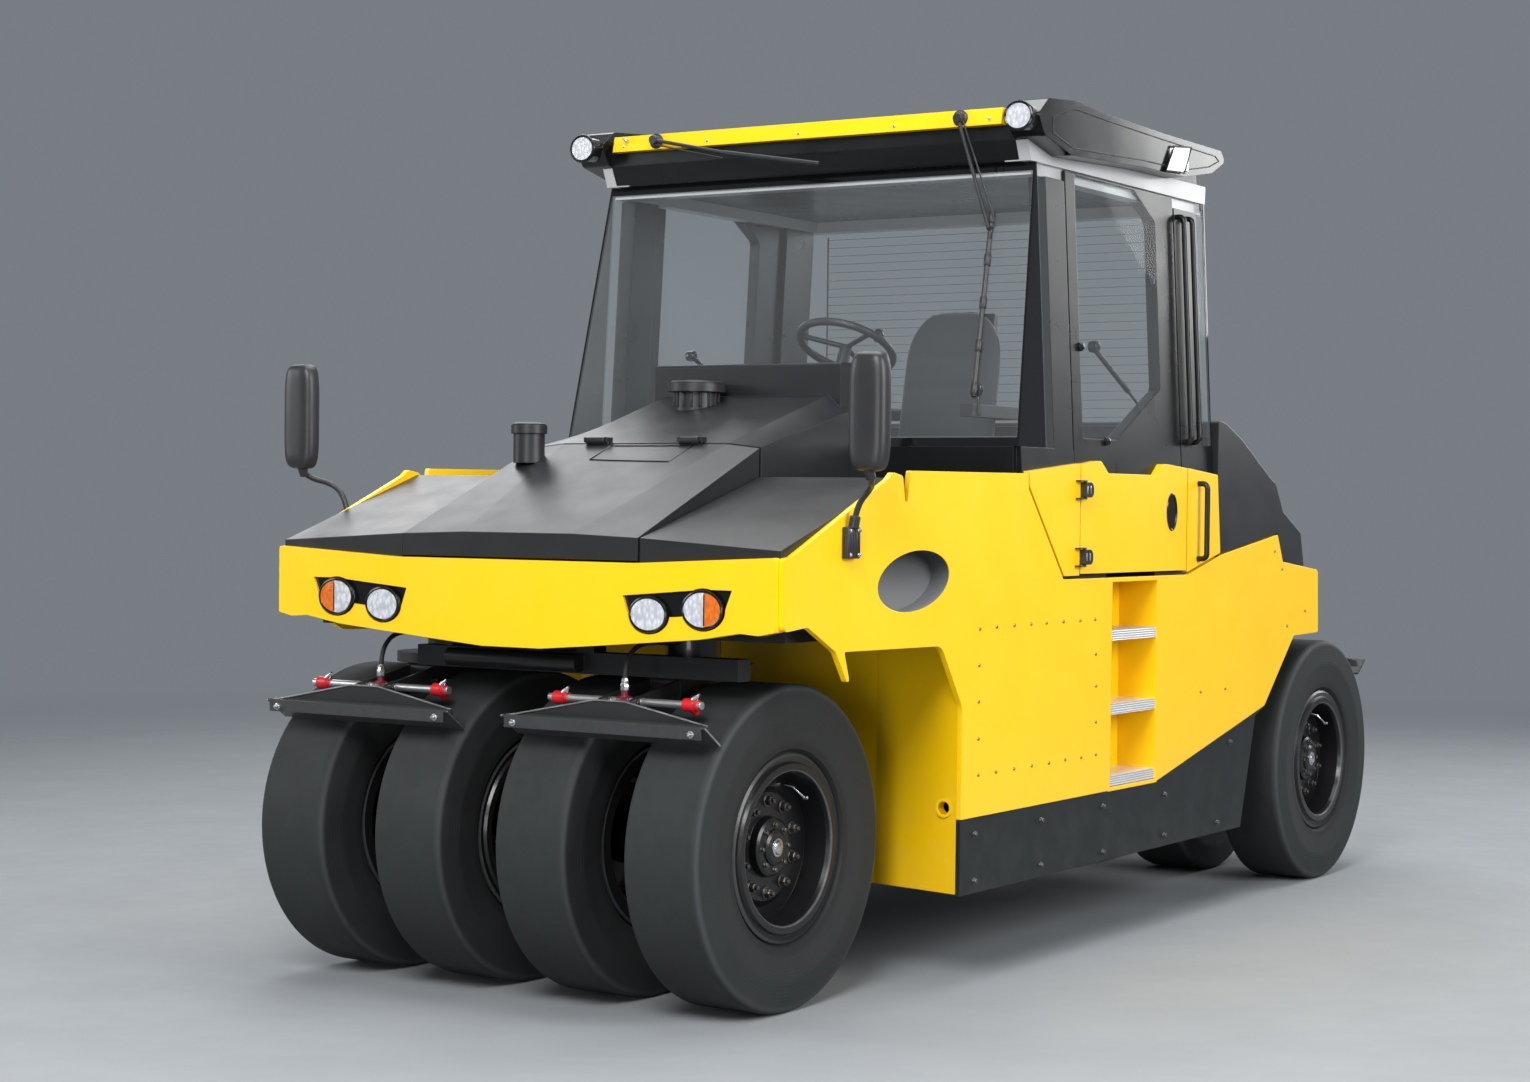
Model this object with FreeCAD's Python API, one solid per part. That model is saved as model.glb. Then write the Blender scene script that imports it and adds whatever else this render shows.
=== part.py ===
import FreeCAD, Part
import math
import os

V = FreeCAD.Vector

# Pneumatic tyre roller, millimetres. Ground at z 0, front of the machine towards -Y,
# its left side towards +X. Lists of points are (y, z) for side views unless a name says otherwise.

# Wheels: four tyre pairs, the rear pairs set one half pitch across from the front ones
TYRE_R = 530.0
TYRE_HALF = 140.0
TYRE_PITCH = 514.0
AXLE_Y = 1937.0
PAIR_HALF = TYRE_PITCH / 2
FRONT_PAIR_X = {"left": 385.5, "right": -642.5}
REAR_PAIR_X = {"left": 642.5, "right": -385.5}
BEAD_R = 256.0
FLANGE_R = 306.0
RIM_HALF = 112.0
RIM_SHEET = 12.0
SHAFT_R = 45.0
BORE_GAP = 0.3

# Heights. The body is drawn over the tyre tops, and the whole machine is lifted onto the ground at the end.
TYRE_TOP = 1060.0
AXLE_Z = TYRE_TOP - TYRE_R
GROUND_Z = TYRE_TOP - 2 * TYRE_R
FORK_TOP_Z = TYRE_TOP + 18
HEAD_Z = TYRE_TOP + 150
HEAD_PLATE = 50.0
DECK_Z = TYRE_TOP + 70
PIN_R = 58.0
ARM_HALF = 68.0

# Body
SIDE_X = 1040.0
PANEL = 20.0
INNER_X = SIDE_X - PANEL
CAB_WALL = 45.0
CAB_WALL_X = SIDE_X - CAB_WALL
BELLY_Z = 322.0
FLOOR_Z = 1392.0
FLOOR_TOP = FLOOR_Z + 28

# Cab side planes lean in towards the roof
SILL_Z = 1790.0
ROOF_Z = 2880.0
RAIL_Z = ROOF_Z - 46
CAB_SILL_X = 1012.0
CAB_ROOF_X = 955.0
SCREEN_SILL_Y = -880.0
SCREEN_ROOF_Y = -670.0
SCREEN_LOW_Z = 1852.0
REAR_GLASS_Y = 765.0
REAR_GLASS_LOW_Z = 1895.0
GLASS = 8.0
FRONT_PILLAR = (-600.0, -455.0)
REAR_PILLAR = (482.0, 690.0)
DOOR = (-445.0, 468.0)
STEP_WELL = (-179.0, 209.0)

parts = {}


def box(x0, x1, y0, y1, z0, z1):
    return Part.makeBox(x1 - x0, y1 - y0, z1 - z0, V(x0, y0, z0))


def loop(points):
    return Part.makePolygon(points + [points[0]])


def rounded(points, radii):
    """Closed wire in one plane through points, with an arc of the given radius at each corner."""
    count = len(points)
    arcs = {}
    ends = []
    for i, here in enumerate(points):
        radius = radii[i]
        if radius <= 0:
            ends.append((here, here))
            continue
        before = (points[i - 1] - here).normalize()
        after = (points[(i + 1) % count] - here).normalize()
        half = before.getAngle(after) / 2
        cut = radius / math.tan(half)
        first = here + before * cut
        last = here + after * cut
        middle = here + (before + after).normalize() * (radius / math.sin(half) - radius)
        ends.append((first, last))
        arcs[i] = Part.Arc(first, middle, last).toShape()
    wire = []
    for i in range(count):
        if i in arcs:
            wire.append(arcs[i])
        start = ends[i][1]
        stop = ends[(i + 1) % count][0]
        if start.distanceToPoint(stop) > 0.01:
            wire.append(Part.makeLine(start, stop))
    return Part.Wire(Part.__sortEdges__(wire))


def side_prism(points, x0, x1, radius=0.0, radii=None):
    """Side view outline (y, z) carried from x0 to x1."""
    flat = [V(x0, y, z) for y, z in points]
    wire = rounded(flat, radii or [radius] * len(flat))
    return Part.Face(wire).extrude(V(x1 - x0, 0, 0))


def front_prism(points, y0, y1, radius=0.0, radii=None):
    """Front view outline (x, z) carried from y0 to y1."""
    flat = [V(x, y0, z) for x, z in points]
    wire = rounded(flat, radii or [radius] * len(flat))
    return Part.Face(wire).extrude(V(0, y1 - y0, 0))


def plan_prism(points, z0, z1, radius=0.0, radii=None):
    """Plan outline (x, y) carried from z0 to z1."""
    flat = [V(x, y, z0) for x, y in points]
    wire = rounded(flat, radii or [radius] * len(flat))
    return Part.Face(wire).extrude(V(0, 0, z1 - z0))


def front_oval(x, z, half_x, half_z, y0, y1):
    """Upright oval disc seen from the front, half_x wide and half_z high from its centre."""
    ring = Part.Ellipse(V(x, y0, z), half_x, half_z)
    ring.Axis = V(0, -1, 0)
    ring.XAxis = V(1, 0, 0)
    return Part.Face(Part.Wire(ring.toShape())).extrude(V(0, y1 - y0, 0))


def rod(start, end, radius):
    line = V(*end) - V(*start)
    return Part.makeCylinder(radius, line.Length, V(*start), line)


HOSE_ARC_SHARE = 0.45


def tube_path(points, radius, bend=None):
    """Round tube along points, with arcs of radius bend, or on a hose as large as its runs allow."""
    path = [V(*p) for p in points]
    edges = []
    start = path[0]
    for i in range(1, len(path) - 1):
        here = path[i]
        before = path[i - 1] - here
        after = path[i + 1] - here
        shorter = min(before.Length, after.Length)
        before.normalize()
        after.normalize()
        half = before.getAngle(after) / 2
        arc = bend or HOSE_ARC_SHARE * shorter * math.tan(half)
        cut = arc / math.tan(half)
        if bend is None:
            print("hose corner", i, "radius", round(arc, 1))
        first = here + before * cut
        last = here + after * cut
        middle = here + (before + after).normalize() * (arc / math.sin(half) - arc)
        edges.append(Part.makeLine(start, first))
        edges.append(Part.Arc(first, middle, last).toShape())
        start = last
    edges.append(Part.makeLine(start, path[-1]))
    spine = Part.Wire(edges)
    ring = Part.Wire(Part.makeCircle(radius, path[0], path[1] - path[0]))
    return spine.makePipeShell([ring], True, False)


def turned(profile, centre, hand=1):
    """Ring turned about the X axis through centre from (x, r, corner radius) points."""
    flat = [V(centre[0] + hand * x, centre[1], centre[2] + r) for x, r, corner in profile]
    wire = rounded(flat, [corner for x, r, corner in profile])
    return Part.Face(wire).revolve(V(*centre), V(1, 0, 0), 360)


def hull_between(lower, upper):
    """Solid between two closed outlines with the same number of corners."""
    return Part.makeLoft([loop([V(*p) for p in lower]), loop([V(*p) for p in upper])], True, True)


def mirrored(shape):
    return shape.mirror(V(0, 0, 0), V(1, 0, 0))


def handed(shape, hand):
    """The shape as drawn on the left side, or its mirror image for the right side."""
    return shape if hand > 0 else mirrored(shape)


def fused(shapes):
    whole = shapes[0]
    if len(shapes) > 1:
        whole = whole.multiFuse(shapes[1:])
    return whole.removeSplitter()


def less(shape, *others):
    """The shape with the others taken out, so it seats on them face to face."""
    for other in others:
        shape = shape.cut(other)
    return shape


def put(name, *shapes):
    parts[name] = shapes[0] if len(shapes) == 1 else Part.makeCompound(list(shapes))


def lean_x(z):
    return CAB_SILL_X + (CAB_ROOF_X - CAB_SILL_X) * (z - SILL_Z) / (ROOF_Z - SILL_Z)


def screen_y(z):
    return SCREEN_SILL_Y + (SCREEN_ROOF_Y - SCREEN_SILL_Y) * (z - SILL_Z) / (ROOF_Z - SILL_Z)


def lean_slab(outer, inner, z0, z1):
    """Slab parallel to the left cab side, from outer to inner mm inside the side plane."""
    corners = [(lean_x(z0) - inner, z0), (lean_x(z0) - outer, z0),
               (lean_x(z1) - outer, z1), (lean_x(z1) - inner, z1)]
    return front_prism(corners, -1500, 1500)


# Tyres and rims, half profiles as (x, r, corner radius)
TREAD_R = 24.0
WALL_BULGE = 5.0


def tyre(x, y):
    half = [(TYRE_HALF - 2, TYRE_R, TREAD_R),
            (TYRE_HALF + WALL_BULGE, (TYRE_R + FLANGE_R) / 2 + 8, 90),
            (RIM_HALF + 19, FLANGE_R + 16, 0),
            (RIM_HALF, FLANGE_R + 5, 0),
            (RIM_HALF, BEAD_R, 0)]
    other = [(-px, r, corner) for px, r, corner in reversed(half)]
    return turned(half + other, (x, y, AXLE_Z))


DISC_X = 26.0
HUB_R = 100.0
HUB_OUT = 84.0
SLEEVE_R = 80.0


def rim(x, y, outward):
    """Rim with a lock ring on its outward side (+1 left, -1 right) and its disc set back."""
    barrel = turned([(-RIM_HALF - 12, FLANGE_R - 9, 0), (-RIM_HALF - 7, FLANGE_R, 0), (-RIM_HALF, FLANGE_R, 0),
                     (-RIM_HALF, BEAD_R, 0), (RIM_HALF, BEAD_R, 0), (RIM_HALF, FLANGE_R, 0),
                     (RIM_HALF + 8, FLANGE_R, 0), (RIM_HALF + 14, FLANGE_R - 9, 0), (RIM_HALF + 10, BEAD_R + 24, 0),
                     (RIM_HALF + 20, BEAD_R + 18, 0), (RIM_HALF + 20, BEAD_R - 6, 4), (RIM_HALF, BEAD_R - RIM_SHEET, 0),
                     (-RIM_HALF, BEAD_R - RIM_SHEET, 0), (-RIM_HALF - 12, BEAD_R + 4, 0)],
                    (x, y, AXLE_Z), outward)
    disc = turned([(DISC_X - 14, BEAD_R - RIM_SHEET + 2, 0), (DISC_X, BEAD_R - RIM_SHEET + 2, 0),
                   (DISC_X, 196, 0), (DISC_X + 14, 176, 0), (DISC_X + 14, SHAFT_R - 1, 0),
                   (DISC_X - 8, SHAFT_R - 1, 0), (DISC_X - 8, 172, 0), (DISC_X - 14, 190, 0)],
                  (x, y, AXLE_Z), outward)
    hub = turned([(-60, HUB_R - 12, 0), (DISC_X + 10, HUB_R, 0), (DISC_X + 40, HUB_R - 4, 0), (DISC_X + 46, HUB_R - 14, 0),
                  (DISC_X + 46, 60, 0), (HUB_OUT - 6, 58, 0), (HUB_OUT, 48, 0), (HUB_OUT, 0, 0), (-60, 0, 0)],
                 (x, y, AXLE_Z), outward)
    return fused([barrel, disc, hub])


def wheel_pair(prefix, x, y):
    put(prefix + "_tyres", tyre(x - PAIR_HALF, y), tyre(x + PAIR_HALF, y))
    shaft = [rod((x - PAIR_HALF, y, AXLE_Z), (x + PAIR_HALF, y, AXLE_Z), SHAFT_R)]
    for s in (-1, 1):
        shaft.append(rod((x + s * (ARM_HALF + 16), y, AXLE_Z), (x + s * (PAIR_HALF - 50), y, AXLE_Z), SLEEVE_R))
    axle = fused(shaft)
    put(prefix + "_axle", axle)
    put(prefix + "_rims", less(rim(x - PAIR_HALF, y, -1), axle), less(rim(x + PAIR_HALF, y, 1), axle))


for side, pair_x in FRONT_PAIR_X.items():
    wheel_pair("front_" + side, pair_x, -AXLE_Y)
for side, pair_x in REAR_PAIR_X.items():
    wheel_pair("rear_" + side, pair_x, AXLE_Y)


def axle_bore(x, y):
    return rod((x - 200, y, AXLE_Z), (x + 200, y, AXLE_Z), SHAFT_R + BORE_GAP)


# Scraper for one tyre pair, drawn at the front; reach is counted forwards from the axle
BLADE_HALF = PAIR_HALF + TYRE_HALF + 3
WIPE_GAP = 12.0
WIPE_ANGLE = math.radians(41.3)
WIPE_REACH = (TYRE_R + WIPE_GAP) * math.cos(WIPE_ANGLE)
WIPE_Z = AXLE_Z + (TYRE_R + WIPE_GAP) * math.sin(WIPE_ANGLE)
BLADE_REACH = WIPE_REACH + 84
BLADE_Z = WIPE_Z + 60
GUSSET_REACH = WIPE_REACH + 38
GUSSET_TOP_Z = BLADE_Z + 66
PIPE_REACH = GUSSET_REACH - 78
PIPE_Z = GUSSET_TOP_Z - 6
PIPE_R = 13.0
PIPE_HALF = PAIR_HALF + 44


def scraper(x):
    """Blade, its bent front edge, gusset, two arms and the spray pipe, with the axle at y 0."""
    blade = side_prism([(-BLADE_REACH, BLADE_Z), (-WIPE_REACH, WIPE_Z), (-WIPE_REACH + 5, WIPE_Z + 7),
                        (-BLADE_REACH + 5, BLADE_Z + 7)], x - BLADE_HALF, x + BLADE_HALF)
    edge = box(x - BLADE_HALF + 14, x + BLADE_HALF - 14, -BLADE_REACH - 3, -BLADE_REACH + 4, BLADE_Z - 34, BLADE_Z + 6)
    gusset = front_prism([(x - BLADE_HALF + 20, BLADE_Z - 34), (x + BLADE_HALF - 20, BLADE_Z - 34),
                          (x + BLADE_HALF - 20, BLADE_Z + 2), (x + 60, GUSSET_TOP_Z), (x - 60, GUSSET_TOP_Z),
                          (x - BLADE_HALF + 20, BLADE_Z + 2)], -GUSSET_REACH, -GUSSET_REACH + 6)
    arm_line = [(-110, FORK_TOP_Z - 40), (-GUSSET_REACH + 3, PIPE_Z - 26),
                (-GUSSET_REACH + 3, PIPE_Z + 4), (-110, FORK_TOP_Z)]
    arms = [side_prism(arm_line, x + s * 60 - 7, x + s * 60 + 7) for s in (-1, 1)]
    pipe = rod((x - PIPE_HALF, -PIPE_REACH, PIPE_Z), (x + PIPE_HALF, -PIPE_REACH, PIPE_Z), PIPE_R)
    clamps = [rod((x + s * 60 - 12, -PIPE_REACH, PIPE_Z), (x + s * 60 + 12, -PIPE_REACH, PIPE_Z), PIPE_R + 7)
              for s in (-1, 1)]
    inlet = rod((x, -PIPE_REACH, PIPE_Z), (x, -PIPE_REACH, PIPE_Z + 34), 10)
    return fused([blade, edge, gusset, pipe, inlet] + arms + clamps)


def nozzle_set(x):
    """Two spray nozzles on the pipe, above the middle of each tyre, with the axle at y 0."""
    pair = []
    for s in (-1, 1):
        centre = x + s * PAIR_HALF
        clip = rod((centre - 20, -PIPE_REACH, PIPE_Z), (centre + 20, -PIPE_REACH, PIPE_Z), PIPE_R + 9)
        cone = rod((centre, -PIPE_REACH, PIPE_Z), (centre, -PIPE_REACH + 30, PIPE_Z - 26), 13)
        cap = rod((centre + 18, -PIPE_REACH, PIPE_Z), (centre + 32, -PIPE_REACH, PIPE_Z), PIPE_R + 5)
        pipe = rod((x - PIPE_HALF, -PIPE_REACH, PIPE_Z), (x + PIPE_HALF, -PIPE_REACH, PIPE_Z), PIPE_R)
        pair.append(fused([clip, cone, cap]).cut(pipe))
    return pair


def moved_y(shape, y):
    shape = shape.copy()
    shape.translate(V(0, y, 0))
    return shape


def turned_round(shape):
    """The front drawing turned to face the rear."""
    shape = shape.copy()
    shape.rotate(V(0, 0, 0), V(0, 0, 1), 180)
    return shape


# Steered forks: an arm between the two tyres, a round plate above them and a king pin
def fork(x):
    arm = side_prism([(-110, AXLE_Z - 100), (110, AXLE_Z - 100), (110, AXLE_Z + 110), (170, FORK_TOP_Z + 10),
                      (-170, FORK_TOP_Z + 10), (-110, AXLE_Z + 110)], x - ARM_HALF, x + ARM_HALF, 30)
    plate = Part.makeCylinder(195, 34, V(x, 0, FORK_TOP_Z))
    collar = Part.makeCylinder(90, HEAD_Z - FORK_TOP_Z - 5, V(x, 0, FORK_TOP_Z))
    pin = Part.makeCylinder(PIN_R, HEAD_Z + HEAD_PLATE - FORK_TOP_Z, V(x, 0, FORK_TOP_Z))
    return fused([arm, plate, collar, pin]).cut(axle_bore(x, 0))


HOSE_R = 8.0
HOSE_END_REACH = 90.6
# Spray hose from the pipe's inlet up behind the beam and back to the collar: reach, height over the inlet
HOSE_ROUTE = [(PIPE_REACH, 0.0), (PIPE_REACH, 38.0), (PIPE_REACH - 5.8, 79.6), (PIPE_REACH - 23.8, 110.8),
              (PIPE_REACH - 52.2, 133.0), (PIPE_REACH - 86.8, 142.9), (PIPE_REACH - 128.7, 145.8),
              (PIPE_REACH - 174.7, 145.0), (PIPE_REACH - 226.5, 140.5), (HOSE_END_REACH, 137.9)]


def spray_hose(x):
    inlet_z = PIPE_Z + 34
    return tube_path([(x, -reach, inlet_z + rise) for reach, rise in HOSE_ROUTE], HOSE_R)


for side, pair_x in FRONT_PAIR_X.items():
    put("front_" + side + "_fork", moved_y(fused([fork(pair_x), scraper(pair_x)]), -AXLE_Y))
    put("front_" + side + "_nozzles", *[moved_y(solid, -AXLE_Y) for solid in nozzle_set(pair_x)])
    put("front_" + side + "_hose", moved_y(spray_hose(pair_x), -AXLE_Y))

# Main frame: head plate over the king pins, closed centre body, rear deck and axle arms
FRAME_FRONT_Y = -2250.0
FRONT_WALL_Y = -1190.0
BEAM_TOP_Z = HEAD_Z - 60
BEAM_FRONT_Y = -2215.0
RAM_Y = BEAM_FRONT_Y - 21


STEP_DEPTH = 165.0
WELL_SHEET = 15.0
CORE_X = SIDE_X - STEP_DEPTH - WELL_SHEET


def step_space(wall):
    """Room of the left step recess, wall mm wider on its closed sides."""
    return box(SIDE_X - STEP_DEPTH - wall, SIDE_X + 20, STEP_WELL[0] - wall, STEP_WELL[1] + wall, 590 - wall, 1361 + wall)


CENTRE_BODY = [(FRONT_WALL_Y, BELLY_Z), (1030, BELLY_Z), (1180, 770), (1262, 900), (1262, FLOOR_Z), (FRONT_WALL_Y, FLOOR_Z)]
REAR_BODY = [(1200, DECK_Z), (1820, DECK_Z), (1820, 1370), (1460, 1385), (1392, 1500), (806, 1430), (790, FLOOR_Z), (1200, FLOOR_Z)]
LUG_X = 600.0
LUG_HOLE_R = 25.0
LUG_HALF = 15.0


def main_frame():
    head = box(-960, 960, FRAME_FRONT_Y, -1170, HEAD_Z, HEAD_Z + HEAD_PLATE)
    horns = [box(s * 720 - 40, s * 720 + 40, BUMPER_BACK_Y, FRAME_FRONT_Y + 20, HEAD_Z + 10, HEAD_Z + HEAD_PLATE)
             for s in (-1, 1)]
    centre = side_prism(CENTRE_BODY, -CORE_X, CORE_X)
    arms = []
    for x in REAR_PAIR_X.values():
        outline = [(AXLE_Y - 110, AXLE_Z - 120), (AXLE_Y + 110, AXLE_Z - 120), (AXLE_Y + 110, AXLE_Z + 110),
                   (AXLE_Y + 170, FORK_TOP_Z + 10), (AXLE_Y - 100, DECK_Z), (AXLE_Y - 690, DECK_Z),
                   (AXLE_Y - 690, TYRE_TOP - 160), (AXLE_Y - 640, TYRE_TOP - 200), (AXLE_Y - 300, AXLE_Z + 110)]
        arms.append(side_prism(outline, x - ARM_HALF, x + ARM_HALF, 30))
    solid = fused([head, centre] + horns + arms)
    for x in FRONT_PAIR_X.values():
        solid = solid.cut(Part.makeCylinder(PIN_R + BORE_GAP, 80, V(x, -AXLE_Y, HEAD_Z - 10)))
    for x in REAR_PAIR_X.values():
        solid = solid.cut(axle_bore(x, AXLE_Y))
    return solid


BUMPER_FRONT_Y = -2400.0
BUMPER_BACK_Y = BUMPER_FRONT_Y + 48
MAIN_FRAME = main_frame()


def side_tanks(hand):
    """Closed boxes before and behind the step recess."""
    block = side_prism(CENTRE_BODY, CORE_X, INNER_X)
    gap = box(0, 2000, STEP_WELL[0] - WELL_SHEET, STEP_WELL[1] + WELL_SHEET, 0, 2000)
    return [handed(solid, hand) for solid in block.cut(gap).Solids]


def rear_body():
    """Closed box under the rear hood, with two towing lugs."""
    lugs = [side_prism([(1815, DECK_Z), (1900, DECK_Z), (1945, DECK_Z + 55), (1900, DECK_Z + 110), (1815, DECK_Z + 110)],
                       s * LUG_X - LUG_HALF, s * LUG_X + LUG_HALF, radii=[0, 20, 30, 20, 0]) for s in (-1, 1)]
    solid = fused([side_prism(REAR_BODY, -INNER_X, INNER_X)] + lugs)
    hole = rod((-LUG_X - 40, 1895, DECK_Z + 55), (LUG_X + 40, 1895, DECK_Z + 55), LUG_HOLE_R)
    return less(solid, hole)


TANKS = [less(tank, MAIN_FRAME) for tank in side_tanks(1) + side_tanks(-1)]
REAR_BOX = less(rear_body(), MAIN_FRAME, *TANKS)
FRAME = [MAIN_FRAME, REAR_BOX] + TANKS
put("main_frame", MAIN_FRAME)
put("side_tanks", *TANKS)
put("rear_body", REAR_BOX)
put("rear_scrapers", *[less(moved_y(turned_round(scraper(-x)), AXLE_Y), *FRAME) for x in REAR_PAIR_X.values()])

# Front cross beam that the steering rams are fixed to
put("steering_beam", less(fused([box(-560, 760, BEAM_FRONT_Y, -2150, BEAM_TOP_Z - 70, BEAM_TOP_Z),
                                 rod((-400, RAM_Y, BEAM_TOP_Z - 34), (150, RAM_Y, BEAM_TOP_Z - 34), 30),
                                 box(-90, -20, BEAM_FRONT_Y, -1960, BEAM_TOP_Z - 40, HEAD_Z),
                                 box(120, 190, BEAM_FRONT_Y, -2150, BEAM_TOP_Z - 40, HEAD_Z)]), *FRAME))

# Front cross wall behind the front wheels, three flat faces, with a tie-down ring at its open end
WALL_MID_X = 650.0
WALL_MID_Y = -1215.0
WALL_SIDE_Y = -1290.0
TIE_X = 965.0
TIE_Z = 613.0
TIE_R = 22.0
TIE_RING_R = 34.0
TIE_RING_HALF = 20.0
WALL_SHEET = 25.0


def arch_wall():
    slope = (WALL_SIDE_Y - WALL_MID_Y) / (INNER_X - WALL_MID_X)
    drop = WALL_SHEET * math.sqrt(1 + slope * slope)
    wall = plan_prism([(-INNER_X, WALL_SIDE_Y), (-WALL_MID_X, WALL_MID_Y), (WALL_MID_X, WALL_MID_Y), (INNER_X, WALL_SIDE_Y),
                       (INNER_X, WALL_SIDE_Y + drop), (WALL_MID_X, WALL_MID_Y + drop), (WALL_MID_X, FRONT_WALL_Y),
                       (-WALL_MID_X, FRONT_WALL_Y), (-WALL_MID_X, WALL_MID_Y + drop), (-INNER_X, WALL_SIDE_Y + drop)],
                      BELLY_Z, 1168)
    floor = plan_prism([(WALL_MID_X - 20, WALL_MID_Y + 20), (INNER_X, WALL_SIDE_Y + 20), (INNER_X, FRONT_WALL_Y),
                        (WALL_MID_X - 20, FRONT_WALL_Y)], BELLY_Z, BELLY_Z + 20)
    for hand in (-1, 1):
        wall = wall.fuse(handed(floor, hand))
    middle = WALL_MID_Y + slope * (TIE_X - WALL_MID_X) + drop / 2
    ring_ends = (TIE_X, middle - TIE_RING_HALF, TIE_Z), (TIE_X, middle + TIE_RING_HALF, TIE_Z)
    wall = wall.fuse(rod(*ring_ends, TIE_RING_R)).cut(rod(*ring_ends, TIE_R))
    return wall.removeSplitter()


ARCH_WALL = less(arch_wall(), *FRAME)
put("arch_wall", ARCH_WALL)

# Side panels, side view outline with the corner radius at each point
PANEL_OUTLINE = [(-2380, 1250, 20), (-2380, 1473, 10), (-2340, 1478, 10), (-1790, 1722, 10), (-1760, 1745, 14),
                 (-1700, 1735, 14), (-1675, 1600, 10), (-1650, 1752, 8), (-850, 1757, 8), (-845, 1700, 10),
                 (-575, 1378, 6), (490, 1378, 10), (800, 1452, 10), (1388, 1533, 12), (1447, 1417, 6),
                 (1844, 1376, 20), (1855, 1100, 12), (1580, 1095, 30), (1270, 810, 10), (215, 578, 6),
                 (-1297, 578, 2), (-1297, 960, 60), (-1440, 1172, 60), (-2040, 1178, 6), (-1994, 1040, 8),
                 (-2090, 1180, 40), (-2250, 1262, 30)]
LOBE_TIP = (-1994, 1040, 8)
OVAL_Y = -1620.0
OVAL_Z = 1392.0
OVAL_HALF_Y = 228.0
OVAL_HALF_Z = 98.0
POCKET_DEPTH = 80.0


def side_oval(x0, x1, grow=0.0):
    ring = Part.Ellipse(V(x0, OVAL_Y, OVAL_Z), OVAL_HALF_Y + grow, OVAL_HALF_Z + grow)
    ring.Axis = V(1, 0, 0)
    ring.XAxis = V(0, math.cos(math.radians(6)), math.sin(math.radians(6)))
    return Part.Face(Part.Wire(ring.toShape())).extrude(V(x1 - x0, 0, 0))


def side_panel(hand):
    """Sheet with an oval pocket and a step recess. Only the left one has the lobe over the front tyre."""
    outline = [point for point in PANEL_OUTLINE if hand > 0 or point != LOBE_TIP]
    sheet = side_prism([(y, z) for y, z, radius in outline], INNER_X, SIDE_X, radii=[radius for y, z, radius in outline])
    pocket = side_oval(SIDE_X - POCKET_DEPTH, INNER_X, 6)
    well = step_space(WELL_SHEET).common(box(0, SIDE_X, -600, 600, 0, 3000))
    whole = less(fused([sheet, pocket, well]), step_space(0), side_oval(SIDE_X - POCKET_DEPTH + 6, SIDE_X + 10))
    return handed(whole, hand)


def treads(hand):
    solids = [box(SIDE_X - 165, SIDE_X - 4, STEP_WELL[0], STEP_WELL[1], z - 20, z + 20) for z in (612, 882, 1161)]
    return [handed(solid, hand) for solid in solids]


put("left_side_panel", side_panel(1))
put("right_side_panel", side_panel(-1))
put("step_treads", *(treads(1) + treads(-1)))

# Dark skirts under the side panels
SKIRT = [(WALL_SIDE_Y - 6, 576), (WALL_SIDE_Y - 6, 318), (1040, 318), (1180, 772), (1262, 804), (216, 576)]


def skirt(hand):
    return handed(side_prism(SKIRT, INNER_X, SIDE_X - 3), hand)


put("side_skirts", less(skirt(1), parts["left_side_panel"]), less(skirt(-1), parts["right_side_panel"]))

# Front bumper with two lamp windows. Outlines are (x, z) for the left half.
BUMPER_TOP = [(1020, 1476), (490, 1449)]
BUMPER_LOW = [(120, 1168), (350, 1186), (740, 1219), (890, 1243), (960, 1238), (1020, 1250)]
WINDOW_TOP = [(446, 1347), (761, 1373), (862, 1373), (832, 1300), (754, 1296), (640, 1285), (548, 1285), (466, 1291)]
LAMPS = [("head", 548, 1291, 66, 50), ("side", 754, 1311, 70, 54)]
LAMP_FRAME = 14.0


def lamp_window(hand, inset):
    """Window around one lamp pair, inset mm smaller than the cut in the bumper."""
    shapes = [front_prism([(x, z) for x, z in WINDOW_TOP], -2450, -2300)]
    for name, x, z, half_x, half_z in LAMPS:
        shapes.append(front_oval(x, z, half_x + LAMP_FRAME - inset, half_z + LAMP_FRAME - inset - 2, -2450, -2300))
    return handed(fused(shapes), hand)


def bumper():
    top = BUMPER_TOP + [(-x, z) for x, z in reversed(BUMPER_TOP)]
    low = [(-x, z) for x, z in reversed(BUMPER_LOW)] + BUMPER_LOW
    face = front_prism(low + top, BUMPER_FRONT_Y, BUMPER_BACK_Y, radii=[6] * len(low) + [10, 4, 4, 10])
    return less(face, lamp_window(1, 0), lamp_window(-1, 0))


BUMPER = bumper()
put("front_bumper", BUMPER)


def lamp_housing(hand):
    return lamp_window(hand, 0).common(box(-2000, 2000, BUMPER_FRONT_Y + 10, BUMPER_BACK_Y, 1000, 1600))


HOUSINGS = [lamp_housing(1), lamp_housing(-1)]
put("headlamp_housings", *HOUSINGS)
LENS_DEPTH = 16.0
HEADLAMPS = []
for hand in (-1, 1):
    for name, x, z, half_x, half_z in LAMPS:
        HEADLAMPS.append(front_oval(hand * x, z, half_x, half_z, BUMPER_FRONT_Y + 10 - LENS_DEPTH, BUMPER_FRONT_Y + 10))

# Hood: fixed wings, lifting centre part, rear cowl
WING_FRONT_Y = BUMPER_FRONT_Y + 28
WING_REAR_Y = -1715.0
HOOD_HALF = 484.0
WING_IN_X = 490.0
WING_SHEET = 30.0
DECK_TOP_Z = 1728.0
CAB_FRONT_Y = -872.0


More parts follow.
